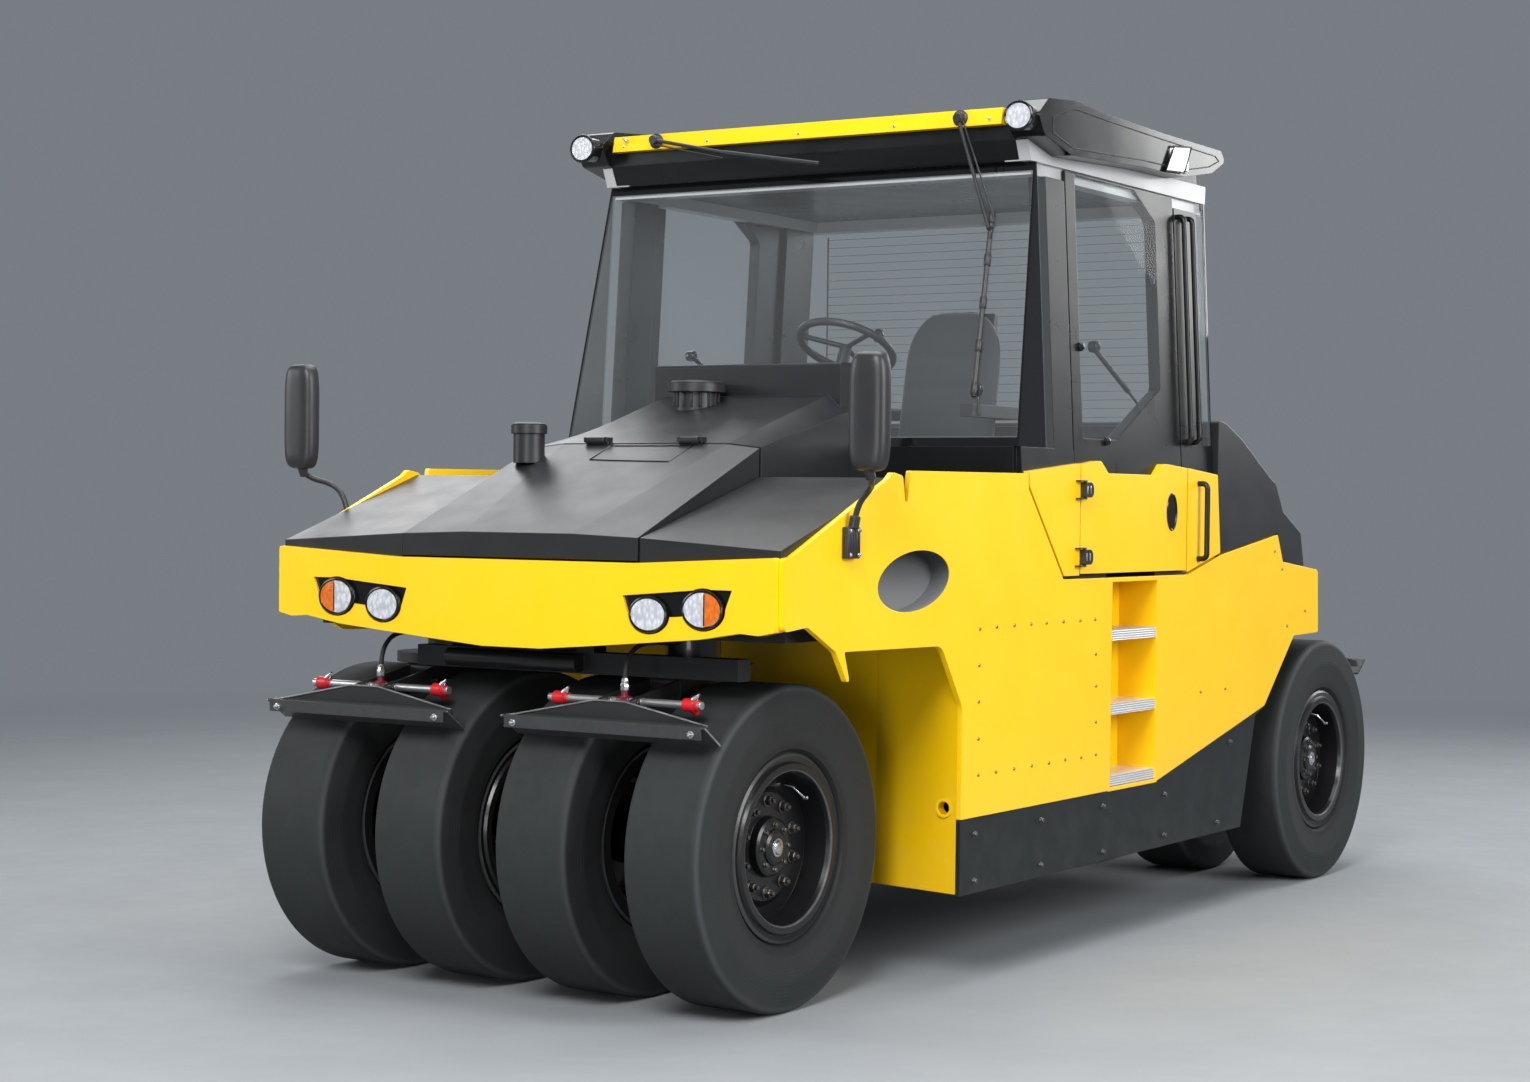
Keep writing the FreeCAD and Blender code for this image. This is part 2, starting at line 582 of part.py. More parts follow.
def wing(hand):
    front = [(WING_IN_X, WING_FRONT_Y, 1527 - WING_SHEET), (WING_IN_X, WING_FRONT_Y, 1527),
             (INNER_X, WING_FRONT_Y, 1496), (INNER_X, WING_FRONT_Y, 1496 - WING_SHEET)]
    rear = [(WING_IN_X, WING_REAR_Y, DECK_TOP_Z - WING_SHEET), (WING_IN_X, WING_REAR_Y, DECK_TOP_Z),
            (INNER_X, WING_REAR_Y, DECK_TOP_Z), (INNER_X, WING_REAR_Y, DECK_TOP_Z - WING_SHEET)]
    sheet = hull_between(front, rear)
    lip = front_prism([(WING_IN_X, 1449), (INNER_X, 1476), (INNER_X, 1494), (WING_IN_X, 1524)],
                      WING_FRONT_Y, WING_FRONT_Y + 24)
    shoulder = box(WING_IN_X, INNER_X, WING_REAR_Y, CAB_FRONT_Y, DECK_TOP_Z - WING_SHEET, DECK_TOP_Z)
    inner_wall = side_prism([(BUMPER_BACK_Y, HEAD_Z + HEAD_PLATE), (-1180, HEAD_Z + HEAD_PLATE), (-1180, DECK_TOP_Z - 20),
                             (WING_REAR_Y, DECK_TOP_Z - 20), (BUMPER_BACK_Y, 1500)], WING_IN_X, WING_IN_X + 16)
    return handed(less(fused([sheet, lip, shoulder, inner_wall]), BUMPER, *FRAME), hand)


WINGS = [wing(1), wing(-1)]
put("hood_wings", *WINGS)


def hood_section(y, crease_x, edge_x, crease_z, edge_z, low):
    return [(-crease_x, y, crease_z), (crease_x, y, crease_z), (edge_x, y, edge_z),
            (edge_x, y, low), (-edge_x, y, low), (-edge_x, y, edge_z)]


LID_FRONT_Y = WING_FRONT_Y - 4
LID_REAR_Y = -1712.0
COWL_FRONT_Y = -1700.0
COWL_BACK_Y = -1075.0
HINGE_Z = 1850.0
HINGE_PIN_R = 6.0
HINGE_BARRELS = [-200.0, 200.0]
LID_OUTER = hull_between(hood_section(LID_FRONT_Y, 223, HOOD_HALF, 1536, 1527, 1455),
                         hood_section(LID_REAR_Y, 350, HOOD_HALF, 1838, 1824, 1700))


def hood_lid():
    inner = hull_between(hood_section(-2340, 200, 464, 1512, 1504, 1380), hood_section(-1700, 330, 464, 1815, 1802, 1640))
    barrels = [rod((x - 38, LID_REAR_Y, HINGE_Z), (x + 38, LID_REAR_Y, HINGE_Z), 14) for x in HINGE_BARRELS]
    pin = rod((-300, LID_REAR_Y, HINGE_Z), (300, LID_REAR_Y, HINGE_Z), HINGE_PIN_R + BORE_GAP)
    return less(fused([LID_OUTER.cut(inner)] + barrels), pin)


put("hood_lid", hood_lid())


def rear_cowl():
    slope = hull_between(hood_section(COWL_FRONT_Y, 350, HOOD_HALF, 1842, 1828, 1700),
                         hood_section(COWL_BACK_Y, 360, 430, 2038, 1970, 1700))
    intake = side_prism([(-1100, 1700), (-1100, 2147), (CAB_FRONT_Y - 28, 2147), (CAB_FRONT_Y - 28, 1700)],
                        -410, 410, radii=[0, 14, 6, 0])
    shapes = [slope, intake, box(-WING_IN_X, WING_IN_X, -1180, CAB_FRONT_Y, 1640, 1712)]
    for x in HINGE_BARRELS:
        for s in (-1, 1):
            x0 = x + s * 46 - 5
            shapes.append(side_prism([(LID_REAR_Y - 8, HINGE_Z - 5), (LID_REAR_Y - 8, HINGE_Z + 12), (-1688, HINGE_Z + 12),
                                      (-1688, HINGE_Z - 25), (COWL_FRONT_Y, HINGE_Z - 25), (COWL_FRONT_Y, HINGE_Z - 5)],
                                     x0, x0 + 10))
        shapes.append(rod((x - 51, LID_REAR_Y, HINGE_Z), (x + 51, LID_REAR_Y, HINGE_Z), HINGE_PIN_R))
    return fused(shapes)


COWL = less(rear_cowl(), *WINGS)
put("rear_cowl", COWL)
CAP_XY = (-135.0, -1215.0)
put("cowl_cap", less(fused([Part.makeCylinder(80, 90, V(CAP_XY[0], CAP_XY[1], 1950)),
                            Part.makeCylinder(104, 30, V(CAP_XY[0], CAP_XY[1], 2040))]), COWL))
FILTER_XY = (-400.0, -1835.0)
put("air_cleaner_cap", less(fused([Part.makeCylinder(54, 120, V(FILTER_XY[0], FILTER_XY[1], 1770)),
                                   Part.makeCylinder(62, 30, V(FILTER_XY[0], FILTER_XY[1], 1872))]), LID_OUTER))

# Engine and pump block, one plain mass
put("engine_block", box(-380, 380, -2150, -1230, HEAD_Z + HEAD_PLATE, HEAD_Z + HEAD_PLATE + 220))

# Cab: floor, low walls, sills and pillars
CAB_SIDE = [(-838, 1712), (-568, 1390), (488, 1390), (795, 1462), (760, 1778), (480, 1800), (-450, 1800), (-838, 1765)]
DOOR_GAP_FRONT = 6.0
DOOR_GAP_REAR = 10.0
HINGE_X = SIDE_X + 13.5
HINGE_Y = -440.0
DOOR_HINGE_Z = (1704.0, 1458.0)
HINGE_HALF = 28.0
LUG_END_R = 9.0


def cab_side(hand):
    """Lower outer side of the cab before and behind the door, with the fixed hinge lugs and pins."""
    sheet = side_prism(CAB_SIDE, CAB_WALL_X, SIDE_X, radii=[4, 6, 6, 6, 6, 4, 4, 6])
    opening = box(0, 2000, DOOR[0] - DOOR_GAP_FRONT, DOOR[1] + DOOR_GAP_REAR, 1380, 1900)
    pieces = sheet.cut(opening).Solids
    front = min(pieces, key=lambda solid: solid.CenterOfMass.y)
    rear = max(pieces, key=lambda solid: solid.CenterOfMass.y)
    for z in DOOR_HINGE_Z:
        for s in (-1, 1):
            z0 = z + s * (HINGE_HALF + 4.5) - 2.5
            front = front.fuse(box(SIDE_X - 5, HINGE_X + LUG_END_R, DOOR[0] - 44, HINGE_Y - 16, z0, z0 + 5))
            front = front.fuse(box(SIDE_X, HINGE_X + LUG_END_R, HINGE_Y - 16, HINGE_Y - 8, z0, z0 + 5))
            front = front.fuse(box(HINGE_X - LUG_END_R + 3, HINGE_X + LUG_END_R, HINGE_Y - 8, HINGE_Y, z0, z0 + 5))
            front = front.fuse(Part.makeCylinder(LUG_END_R, 5, V(HINGE_X, HINGE_Y, z0)))
        front = front.fuse(rod((HINGE_X, HINGE_Y, z - HINGE_HALF - 7), (HINGE_X, HINGE_Y, z + HINGE_HALF + 7), HINGE_PIN_R))
    front = less(front, box(SIDE_X - 50, SIDE_X, DOOR[0] - DOOR_GAP_FRONT, HINGE_Y + 20, 1300, 1900))
    return [handed(less(solid.removeSplitter(), *FRAME), hand) for solid in (front, rear)]


CAB_SIDES = cab_side(1) + cab_side(-1)
put("cab_side_panels", *CAB_SIDES)


def pillar(y0, y1, hand):
    return handed(lean_slab(0, 70, 1760, RAIL_Z).common(box(0, 2000, y0, y1, 1000, 3200)), hand)


def cab_frame():
    floor_plate = box(-INNER_X + 30, INNER_X - 30, -850, REAR_GLASS_Y, FLOOR_Z, FLOOR_TOP)
    front_low = box(-INNER_X + 30, INNER_X - 30, CAB_FRONT_Y, -840, FLOOR_Z, SCREEN_LOW_Z)
    rear_low = box(-INNER_X + 30, INNER_X - 30, 735, REAR_GLASS_Y, FLOOR_Z, REAR_GLASS_LOW_Z)
    shapes = [floor_plate, front_low, rear_low]
    for hand in (-1, 1):
        for y0, y1 in (FRONT_PILLAR, REAR_PILLAR):
            shapes.append(pillar(y0, y1, hand))
        for y0, y1, top in ((-850, DOOR[0] - DOOR_GAP_FRONT, SCREEN_LOW_Z), (DOOR[1] + DOOR_GAP_REAR, REAR_GLASS_Y, REAR_GLASS_LOW_Z)):
            shapes.append(handed(box(935, CAB_WALL_X, y0, y1, FLOOR_Z, top), hand))
            ledge = lean_slab(0, 50, 1700, top).common(box(0, 2000, y0, y1, 1700, top))
            shapes.append(handed(ledge, hand))
    return less(fused(shapes), *(CAB_SIDES + FRAME))


CAB_FRAME = cab_frame()
put("cab_frame", CAB_FRAME)


# Roof
ROOF_HALF = 905.0
ROOF_SIDE = [(-735, 2955), (-700, ROOF_Z), (800, ROOF_Z), (815, 2940), (790, 3030), (-690, 3058), (-738, 3010)]
VISOR_OUT_X = ROOF_HALF + 130
ROOF = side_prism(ROOF_SIDE, -ROOF_HALF, ROOF_HALF, 12)
put("roof", ROOF)
STRIP = less(side_prism([(-776, 3006), (-700, 3006), (-700, 3066), (-764, 3066)], -ROOF_HALF + 35, ROOF_HALF - 35), ROOF)
put("roof_strip", STRIP)
VISOR = [(-800, 3030, 20), (-726, 3093, 30), (-526, 3111, 80), (-244, 3099, 80), (230, 3091, 60), (752, 3090, 20), (800, 3050, 20),
         (671, 2990, 30), (417, 2945, 60), (58, 2940, 40), (-321, 2922, 60), (-544, 2912, 40), (-752, 2959, 30)]
VISORS = []
for hand in (1, -1):
    solid = side_prism([(y, z) for y, z, radius in VISOR], ROOF_HALF, VISOR_OUT_X, radii=[radius for y, z, radius in VISOR])
    VISORS.append(handed(solid, hand))
put("roof_visors", *VISORS)
ROOF_LAMPS = [less(front_oval(s * (ROOF_HALF + 68), 3020, 52, 47, -838, -760), *VISORS) for s in (-1, 1)]

RAIL_SET = 18.0
HEADER_Z = 2952.0
DOOR_TOP_Z = ROOF_Z - 6


def roof_frame():
    """Pale rails round the cab top, between the pillars and the roof."""
    front = side_prism([(screen_y(RAIL_Z) + GLASS, RAIL_Z), (SCREEN_ROOF_Y + GLASS, ROOF_Z), (-600, ROOF_Z), (-600, RAIL_Z)],
                       -CAB_ROOF_X + RAIL_SET, CAB_ROOF_X - RAIL_SET)
    rear = box(-CAB_ROOF_X + RAIL_SET, CAB_ROOF_X - RAIL_SET, 690, REAR_GLASS_Y, RAIL_Z, ROOF_Z)
    shapes = [front, rear]
    for hand in (-1, 1):
        rail = lean_slab(RAIL_SET, RAIL_SET + 66, RAIL_Z, ROOF_Z).common(box(0, 2000, -640, REAR_GLASS_Y, 2000, 3200))
        header = side_prism([(-700, ROOF_Z), (785, ROOF_Z), (790, HEADER_Z), (-730, HEADER_Z)], ROOF_HALF - 60, CAB_ROOF_X - 2)
        shapes.append(handed(rail.fuse(header), hand))
    return less(fused(shapes), ROOF, *VISORS)


ROOF_FRAME = roof_frame()
put("roof_frame", ROOF_FRAME)


def windscreen():
    corners = [(-lean_x(SCREEN_LOW_Z), screen_y(SCREEN_LOW_Z), SCREEN_LOW_Z), (lean_x(SCREEN_LOW_Z), screen_y(SCREEN_LOW_Z), SCREEN_LOW_Z),
               (CAB_ROOF_X, SCREEN_ROOF_Y, ROOF_Z), (-CAB_ROOF_X, SCREEN_ROOF_Y, ROOF_Z)]
    back = [(x, y + GLASS, z) for x, y, z in corners]
    return hull_between(corners, back)


def rear_pane():
    low = lean_x(REAR_GLASS_LOW_Z)
    corners = [(-low, REAR_GLASS_Y, REAR_GLASS_LOW_Z - 40), (low, REAR_GLASS_Y, REAR_GLASS_LOW_Z - 40),
               (CAB_ROOF_X, REAR_GLASS_Y, ROOF_Z), (-CAB_ROOF_X, REAR_GLASS_Y, ROOF_Z)]
    return hull_between(corners, [(x, y + GLASS, z) for x, y, z in corners])


def side_glass(points, hand):
    pane = side_prism(points, 0, 2000).common(lean_slab(2, 2 + GLASS, 1700, 3000))
    return handed(less(pane, ROOF_FRAME, CAB_FRAME), hand)


FRONT_SIDE_GLASS = [(screen_y(SCREEN_LOW_Z) + GLASS, SCREEN_LOW_Z), (FRONT_PILLAR[0], SCREEN_LOW_Z), (FRONT_PILLAR[0], ROOF_Z),
                    (SCREEN_ROOF_Y + GLASS, ROOF_Z)]
REAR_SIDE_GLASS = [(REAR_PILLAR[1], REAR_GLASS_LOW_Z), (REAR_GLASS_Y, REAR_GLASS_LOW_Z), (REAR_GLASS_Y, ROOF_Z), (REAR_PILLAR[1], ROOF_Z)]
SIDE_PANES = [side_glass(points, hand) for points in (FRONT_SIDE_GLASS, REAR_SIDE_GLASS) for hand in (1, -1)]
put("cab_glass", windscreen(), rear_pane(), *SIDE_PANES)

# Doors
DOOR_LOW = [(DOOR[0], 1396, 6), (DOOR[1], 1396, 6), (DOOR[1], 1800, 10), (290, 1812, 12), (250, 1812, 12), (190, 1768, 20),
            (-225, 1768, 20), (-285, 1812, 12), (-320, 1812, 12), (DOOR[0], 1796, 6)]
DOOR_GLASS = [(-372, 1895, 20), (-96, 1895, 30), (305, 2104, 30), (305, 2760, 30), (125, 2866, 30), (-372, 2866, 20)]
HANDLE_Y = 329.0
HANDLE_Z = 1626.0
HANDLE_HALF = (42.0, 70.0)


def hinge_block(z):
    """D-shaped block on the door that turns on the fixed pin."""
    block = side_prism([(HINGE_Y - 10, z - HINGE_HALF), (HINGE_Y + 50, z - HINGE_HALF), (HINGE_Y + 50, z + HINGE_HALF),
                        (HINGE_Y - 10, z + HINGE_HALF)], SIDE_X, HINGE_X + 12, radii=[3, 24, 24, 3])
    return less(block, rod((HINGE_X, HINGE_Y, z - 60), (HINGE_X, HINGE_Y, z + 60), HINGE_PIN_R + BORE_GAP))


def door(hand):
    low = side_prism([(y, z) for y, z, radius in DOOR_LOW], CAB_WALL_X, SIDE_X, radii=[radius for y, z, radius in DOOR_LOW])
    recess = Part.Ellipse(V(SIDE_X - 28, HANDLE_Y, HANDLE_Z), HANDLE_HALF[1], HANDLE_HALF[0])
    recess.Axis = V(1, 0, 0)
    recess.XAxis = V(0, 0, 1)
    low = less(low, Part.Face(Part.Wire(recess.toShape())).extrude(V(60, 0, 0)))
    low = less(fused([low] + [hinge_block(z) for z in DOOR_HINGE_Z]))
    filler = box(955, CAB_WALL_X, DOOR[0], DOOR[1], 1740, 1900)
    ring = side_prism([(DOOR[0], 1740), (DOOR[1], 1740), (DOOR[1], DOOR_TOP_Z), (DOOR[0], DOOR_TOP_Z)], 0, 2000)
    ring = ring.common(lean_slab(0, 50, 1700, 3000))
    hole = side_prism([(y, z) for y, z, radius in DOOR_GLASS], 0, 2000, radii=[radius for y, z, radius in DOOR_GLASS])
    over_rail = lean_slab(RAIL_SET - 6, 80, RAIL_Z - 6, 3000)
    frame = less(fused([ring.cut(hole), filler.cut(hole)]), low, over_rail)
    pane = hole.common(lean_slab(0.5, 0.5 + GLASS, 1700, 3000))
    return [handed(shape, hand) for shape in (low, frame, pane)]


for hand, side in ((1, "left"), (-1, "right")):
    low, frame, pane = door(hand)
    put(side + "_door_panel", low)
    put(side + "_door_frame", frame)
    put(side + "_door_glass", pane)

# Rear hood, rear cross panel
REAR_HOOD = [(773, 1440), (773, 2001), (843, 1990), (1007, 1928), (1320, 1768), (1366, 1752), (1451, 1631), (1649, 1540),
             (1690, 1392), (1447, 1424), (1388, 1540), (806, 1460)]
put("rear_hood", less(side_prism(REAR_HOOD, -1036, 1036, radii=[0, 14, 14, 14, 14, 14, 14, 14, 10, 6, 6, 6]),
                      parts["left_side_panel"], parts["right_side_panel"], *(CAB_SIDES + FRAME)))
REAR_PANEL = less(box(-INNER_X, INNER_X, 1820, 1846, DECK_Z - 24, 1380), *FRAME)
put("rear_panel", REAR_PANEL)
TAIL_LAMPS = [box(s * 850 - 90, s * 850 + 90, 1846, 1872, 1240, 1330) for s in (-1, 1)]
WORK_LAMPS = [handed(box(VISOR_OUT_X, VISOR_OUT_X + 12, 277, 426, 2967, 3042), s) for s in (-1, 1)]
put("lamps", *(HEADLAMPS + ROOF_LAMPS + TAIL_LAMPS + WORK_LAMPS))

# Wipers in front of the windscreen, hung from the roof strip
BLADE_OFF = 14.0


def right_hand_wiper():
    top = (806, screen_y(2708) - BLADE_OFF, 2708)
    low = (812, screen_y(2030) - BLADE_OFF, 2030)
    pivot = (700, -790, 3035)
    elbow = (806, screen_y(2640) - BLADE_OFF - 14, 2640)
    return less(fused([rod((700, -760, 3035), pivot, 12), rod(pivot, elbow, 7), rod(elbow, (806, screen_y(2640) - BLADE_OFF, 2640), 9),
                       rod(top, low, 9)]), STRIP, ROOF)


def left_hand_wiper():
    pivot = (-659, -792, 3040)
    elbow = (-326, -792, 2972)
    tip = (107, -792, 2905)
    return less(fused([rod((-659, -760, 3040), pivot, 12), rod(pivot, elbow, 7), rod(elbow, tip, 9)]), STRIP, ROOF)


put("wipers", right_hand_wiper(), left_hand_wiper())

# Grab rails: two tubes up each rear pillar and one beside each door
RAIL_R = 11.0
PILLAR_RAILS = [(505, 1905, 2800), (585, 1905, 2800)]
SIDE_RAIL = (575, 1440, 1740)


def grab_rails(hand):
    rails = []
    for y, low, top in PILLAR_RAILS:
        ends = [(lean_x(z) - 1, y, z) for z in (low, top)]
        outs = [(lean_x(z) + 32, y, z) for z in (low, top)]
        rails.append(tube_path([ends[0], outs[0], outs[1], ends[1]], RAIL_R, 20))
    y, low, top = SIDE_RAIL
    rails.append(tube_path([(SIDE_X, y, low), (SIDE_X + 40, y, low), (SIDE_X + 40, y, top), (SIDE_X, y, top)], RAIL_R, 20))
    return [handed(less(rail, CAB_FRAME, *CAB_SIDES), hand) for rail in rails]


put("grab_rails", *(grab_rails(1) + grab_rails(-1)))

# Mirrors on arms from the front fenders
MIRROR_HALF = (66.0, 28.0)


def mirror(hand):
    arm = tube_path([(1052, -2025, 1530), (1074, -2028, 1640), (1125, -2030, 1690), (1178, -2110, 1712), (1182, -2141, 1760)], 10, 16)
    foot = box(SIDE_X, 1064, -2062, -1990, 1470, 1570)
    housing = plan_prism([(1182 - MIRROR_HALF[0], -2141 - MIRROR_HALF[1]), (1182 + MIRROR_HALF[0], -2141 - MIRROR_HALF[1]),
                          (1182 + MIRROR_HALF[0], -2141 + MIRROR_HALF[1]), (1182 - MIRROR_HALF[0], -2141 + MIRROR_HALF[1])],
                         1742, 2110, radii=[22, 22, 10, 10])
    return handed(fused([arm, foot, housing]), hand)


put("mirrors", mirror(1), mirror(-1))

# Inside the cab
CHAIR_X = 50.0
CUSHION_Z = 1790.0
put("driver_chair", fused([box(CHAIR_X - 190, CHAIR_X + 190, -160, 260, FLOOR_TOP, FLOOR_TOP + 90),
                           box(CHAIR_X - 130, CHAIR_X + 130, -110, 220, FLOOR_TOP, CUSHION_Z),
                           box(CHAIR_X - 240, CHAIR_X + 240, -200, 290, CUSHION_Z - 40, CUSHION_Z),
                           side_prism([(284, CUSHION_Z - 40), (330, CUSHION_Z - 40), (420, 2420), (390, 2430)], CHAIR_X - 150, CHAIR_X + 150),
                           box(CHAIR_X - 320, CHAIR_X + 320, 262, 345, 1990, 2030),
                           box(CHAIR_X - 320, CHAIR_X - 262, -80, 345, 1990, 2040),
                           box(CHAIR_X + 262, CHAIR_X + 320, -80, 345, 1990, 2040)]))
BACK_PAD = side_prism([(196, CUSHION_Z + 150), (292, CUSHION_Z + 40), (392, 2440), (300, 2460)], CHAIR_X - 230, CHAIR_X + 230,
                      radii=[30, 10, 30, 40])
put("chair_cushions", box(CHAIR_X - 240, CHAIR_X + 240, -210, 190, CUSHION_Z, CUSHION_Z + 120), less(BACK_PAD, parts["driver_chair"]))
CONSOLE = side_prism([(-840, FLOOR_TOP), (-480, FLOOR_TOP), (-560, 1980), (-640, 2120), (-800, 2060), (-840, 1850)],
                     CHAIR_X - 150, CHAIR_X + 150, radii=[0, 0, 30, 20, 20, 20])
WHEEL_CENTRE = (CHAIR_X - 20, -470.0, 2245.0)
WHEEL_TILT = V(0, 0.47, 0.883)
COLUMN = rod((WHEEL_CENTRE[0], WHEEL_CENTRE[1] - 0.47 * 170, WHEEL_CENTRE[2] - 0.883 * 170), WHEEL_CENTRE, 24)
SPOKES = [rod(WHEEL_CENTRE, (WHEEL_CENTRE[0] + 182 * math.cos(a), WHEEL_CENTRE[1] + 182 * 0.883 * math.sin(a),
                             WHEEL_CENTRE[2] - 182 * 0.47 * math.sin(a)), 10) for a in (math.pi / 2, math.pi * 7 / 6, math.pi * 11 / 6)]
CONSOLE = less(CONSOLE, CAB_FRAME)
put("console", CONSOLE)
put("steering_wheel", less(fused([Part.makeTorus(185, 15, V(*WHEEL_CENTRE), WHEEL_TILT), COLUMN] + SPOKES
                                 + [rod((WHEEL_CENTRE[0], WHEEL_CENTRE[1] - 0.47 * 260, WHEEL_CENTRE[2] - 0.883 * 260), WHEEL_CENTRE, 24)]), CONSOLE))

os.makedirs("parts", exist_ok=True)
for name, shape in parts.items():
    shape.translate(V(0, 0, -GROUND_Z))
    shape.exportStep("parts/" + name + ".step")
    print(name, len(shape.Solids), shape.isValid())
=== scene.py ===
import math

import bmesh
import bpy
from mathutils import Matrix, Vector


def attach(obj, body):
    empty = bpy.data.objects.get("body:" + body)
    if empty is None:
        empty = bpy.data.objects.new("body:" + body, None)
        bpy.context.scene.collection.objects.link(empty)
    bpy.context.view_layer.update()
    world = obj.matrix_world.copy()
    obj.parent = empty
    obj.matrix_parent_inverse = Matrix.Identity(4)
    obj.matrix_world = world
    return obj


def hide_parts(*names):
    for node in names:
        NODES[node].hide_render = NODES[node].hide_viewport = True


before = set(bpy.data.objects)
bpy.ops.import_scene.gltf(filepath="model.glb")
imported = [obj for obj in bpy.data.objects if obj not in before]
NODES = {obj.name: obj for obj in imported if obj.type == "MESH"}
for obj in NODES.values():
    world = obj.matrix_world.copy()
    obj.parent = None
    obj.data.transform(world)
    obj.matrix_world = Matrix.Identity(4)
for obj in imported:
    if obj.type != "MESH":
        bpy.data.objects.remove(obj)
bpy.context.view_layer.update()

# Camera, solved from the photograph: place in metres, angles in radians, focal length in pixels
PHOTO_WIDTH = 1530
PHOTO_HEIGHT = 1082
EYE = Vector((5.35733, -8.80195, 1.63828))
YAW = 0.5332
PITCH = 0.0179
ROLL = 0.0123
FOCAL_PX = 2567.41
CENTRE_PX = (935.57, 551.93)
SENSOR = 36.0
FAR_CLIP = 200

# Wheels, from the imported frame
AXLE_Z = 0.53
AXLE_Y = {"front": -1.937, "rear": 1.937}
PAIR_X = {("front", "left"): 0.3855, ("front", "right"): -0.6425, ("rear", "left"): 0.6425,
          ("rear", "right"): -0.3855}
PAIR_HALF = 0.257
TYRE_R = 0.53
# Radii where the look of the tyre's wall and of the rim changes
BEAD = (0.335, 0.355)
RINGED_WALL = (0.37, 0.39, 0.48, 0.50)
LOCK_RING = (0.2475, 0.2485, 0.2525, 0.2540)
RIM_LIP = (0.2965, 0.2975)

# Scrapers' spray pipe: distance before the axle and height
PIPE_REACH = 0.36719
PIPE_Z = 1.00773

# Side lamps are white inside this distance from the middle and orange outside it
SIDE_LAMP_SPLIT = 0.762

SIDES = (("left", 1), ("right", -1))


def placed(name, data):
    """A new object with this data, in the scene."""
    made = bpy.data.objects.new(name, data)
    bpy.context.scene.collection.objects.link(made)
    return made


def make_camera():
    data = bpy.data.cameras.new("photo_camera")
    data.sensor_fit = "HORIZONTAL"
    data.sensor_width = SENSOR
    data.lens = FOCAL_PX * SENSOR / PHOTO_WIDTH
    data.shift_x = -(CENTRE_PX[0] - PHOTO_WIDTH / 2) / PHOTO_WIDTH
    data.shift_y = (CENTRE_PX[1] - PHOTO_HEIGHT / 2) / PHOTO_WIDTH
    data.clip_end = FAR_CLIP
    back = Vector((math.sin(YAW) * math.cos(PITCH), -math.cos(YAW) * math.cos(PITCH), math.sin(PITCH)))
    right = (-back).cross(Vector((0, 0, 1))).normalized()
    up = right.cross(-back)
    right_rolled = math.cos(ROLL) * right + math.sin(ROLL) * up
    up_rolled = -math.sin(ROLL) * right + math.cos(ROLL) * up
    turn = Matrix((right_rolled, up_rolled, back)).transposed().to_4x4()
    camera = placed("photo_camera", data)
    camera.matrix_world = Matrix.Translation(EYE) @ turn
    bpy.context.scene.camera = camera


# Studio: soft boxes as (name, place, size in metres, watts), all aimed at the machine
SOFT_BOXES = [("key_light", (3.0, -8.5, 6.5), 4.0, 760), ("side_light", (9.5, -1.5, 4.5), 5.0, 720),
              ("top_light", (0.0, 0.0, 8.0), 7.0, 560), ("left_light", (-8.0, -6.0, 4.0), 4.0, 260),
              ("back_light", (-7.0, 5.0, 7.5), 7.0, 300), ("rear_light", (3.0, 9.5, 5.0), 5.0, 380),
              ("low_light", (2.5, -9.5, 1.3), 2.5, 120)]
FLOOR_HALF = 30.0
FLOOR_FADE = (4.5, 14.0)
LIT_POINT = Vector((0, 0, 1.1))
WORLD_COLOR = (0.62, 0.69, 0.76, 1)
WORLD_STRENGTH = 0.30


def floor_grey():
    """Pale floor that fades into the background far from the machine."""
    shader = plain("floor_grey", (0.27, 0.285, 0.30), 0.85, Specular_IOR_Level=0.1)
    far = shader.span(shader.axis("X"), shader.axis("Y"))
    fade = shader.remap(far, *FLOOR_FADE, 0, 1, smooth=True)
    shader.cover(fade, shader.node("ShaderNodeBsdfTransparent"))
    return shader


def make_studio():
    scene = bpy.context.scene
    for name, place, size, watts in SOFT_BOXES:
        data = bpy.data.lights.new(name, "AREA")
        data.shape = "DISK"
        data.size = size
        data.energy = watts
        light = placed(name, data)
        light.location = place
        light.rotation_euler = (LIT_POINT - Vector(place)).to_track_quat("-Z", "Y").to_euler()
    scene.world = bpy.data.worlds.new("studio")
    scene.world.use_nodes = True
    background = scene.world.node_tree.nodes["Background"]
    background.inputs["Color"].default_value = WORLD_COLOR
    background.inputs["Strength"].default_value = WORLD_STRENGTH
    mesh = bpy.data.meshes.new("floor")
    corners = [(x * FLOOR_HALF, y * FLOOR_HALF, 0) for x, y in ((-1, -1), (1, -1), (1, 1), (-1, 1))]
    mesh.from_pydata(corners, [], [(0, 1, 2, 3)])
    mesh.materials.append(floor_grey().material)
    placed("floor", mesh)
    scene.view_settings.view_transform = "Standard"
    scene.view_settings.look = "None"


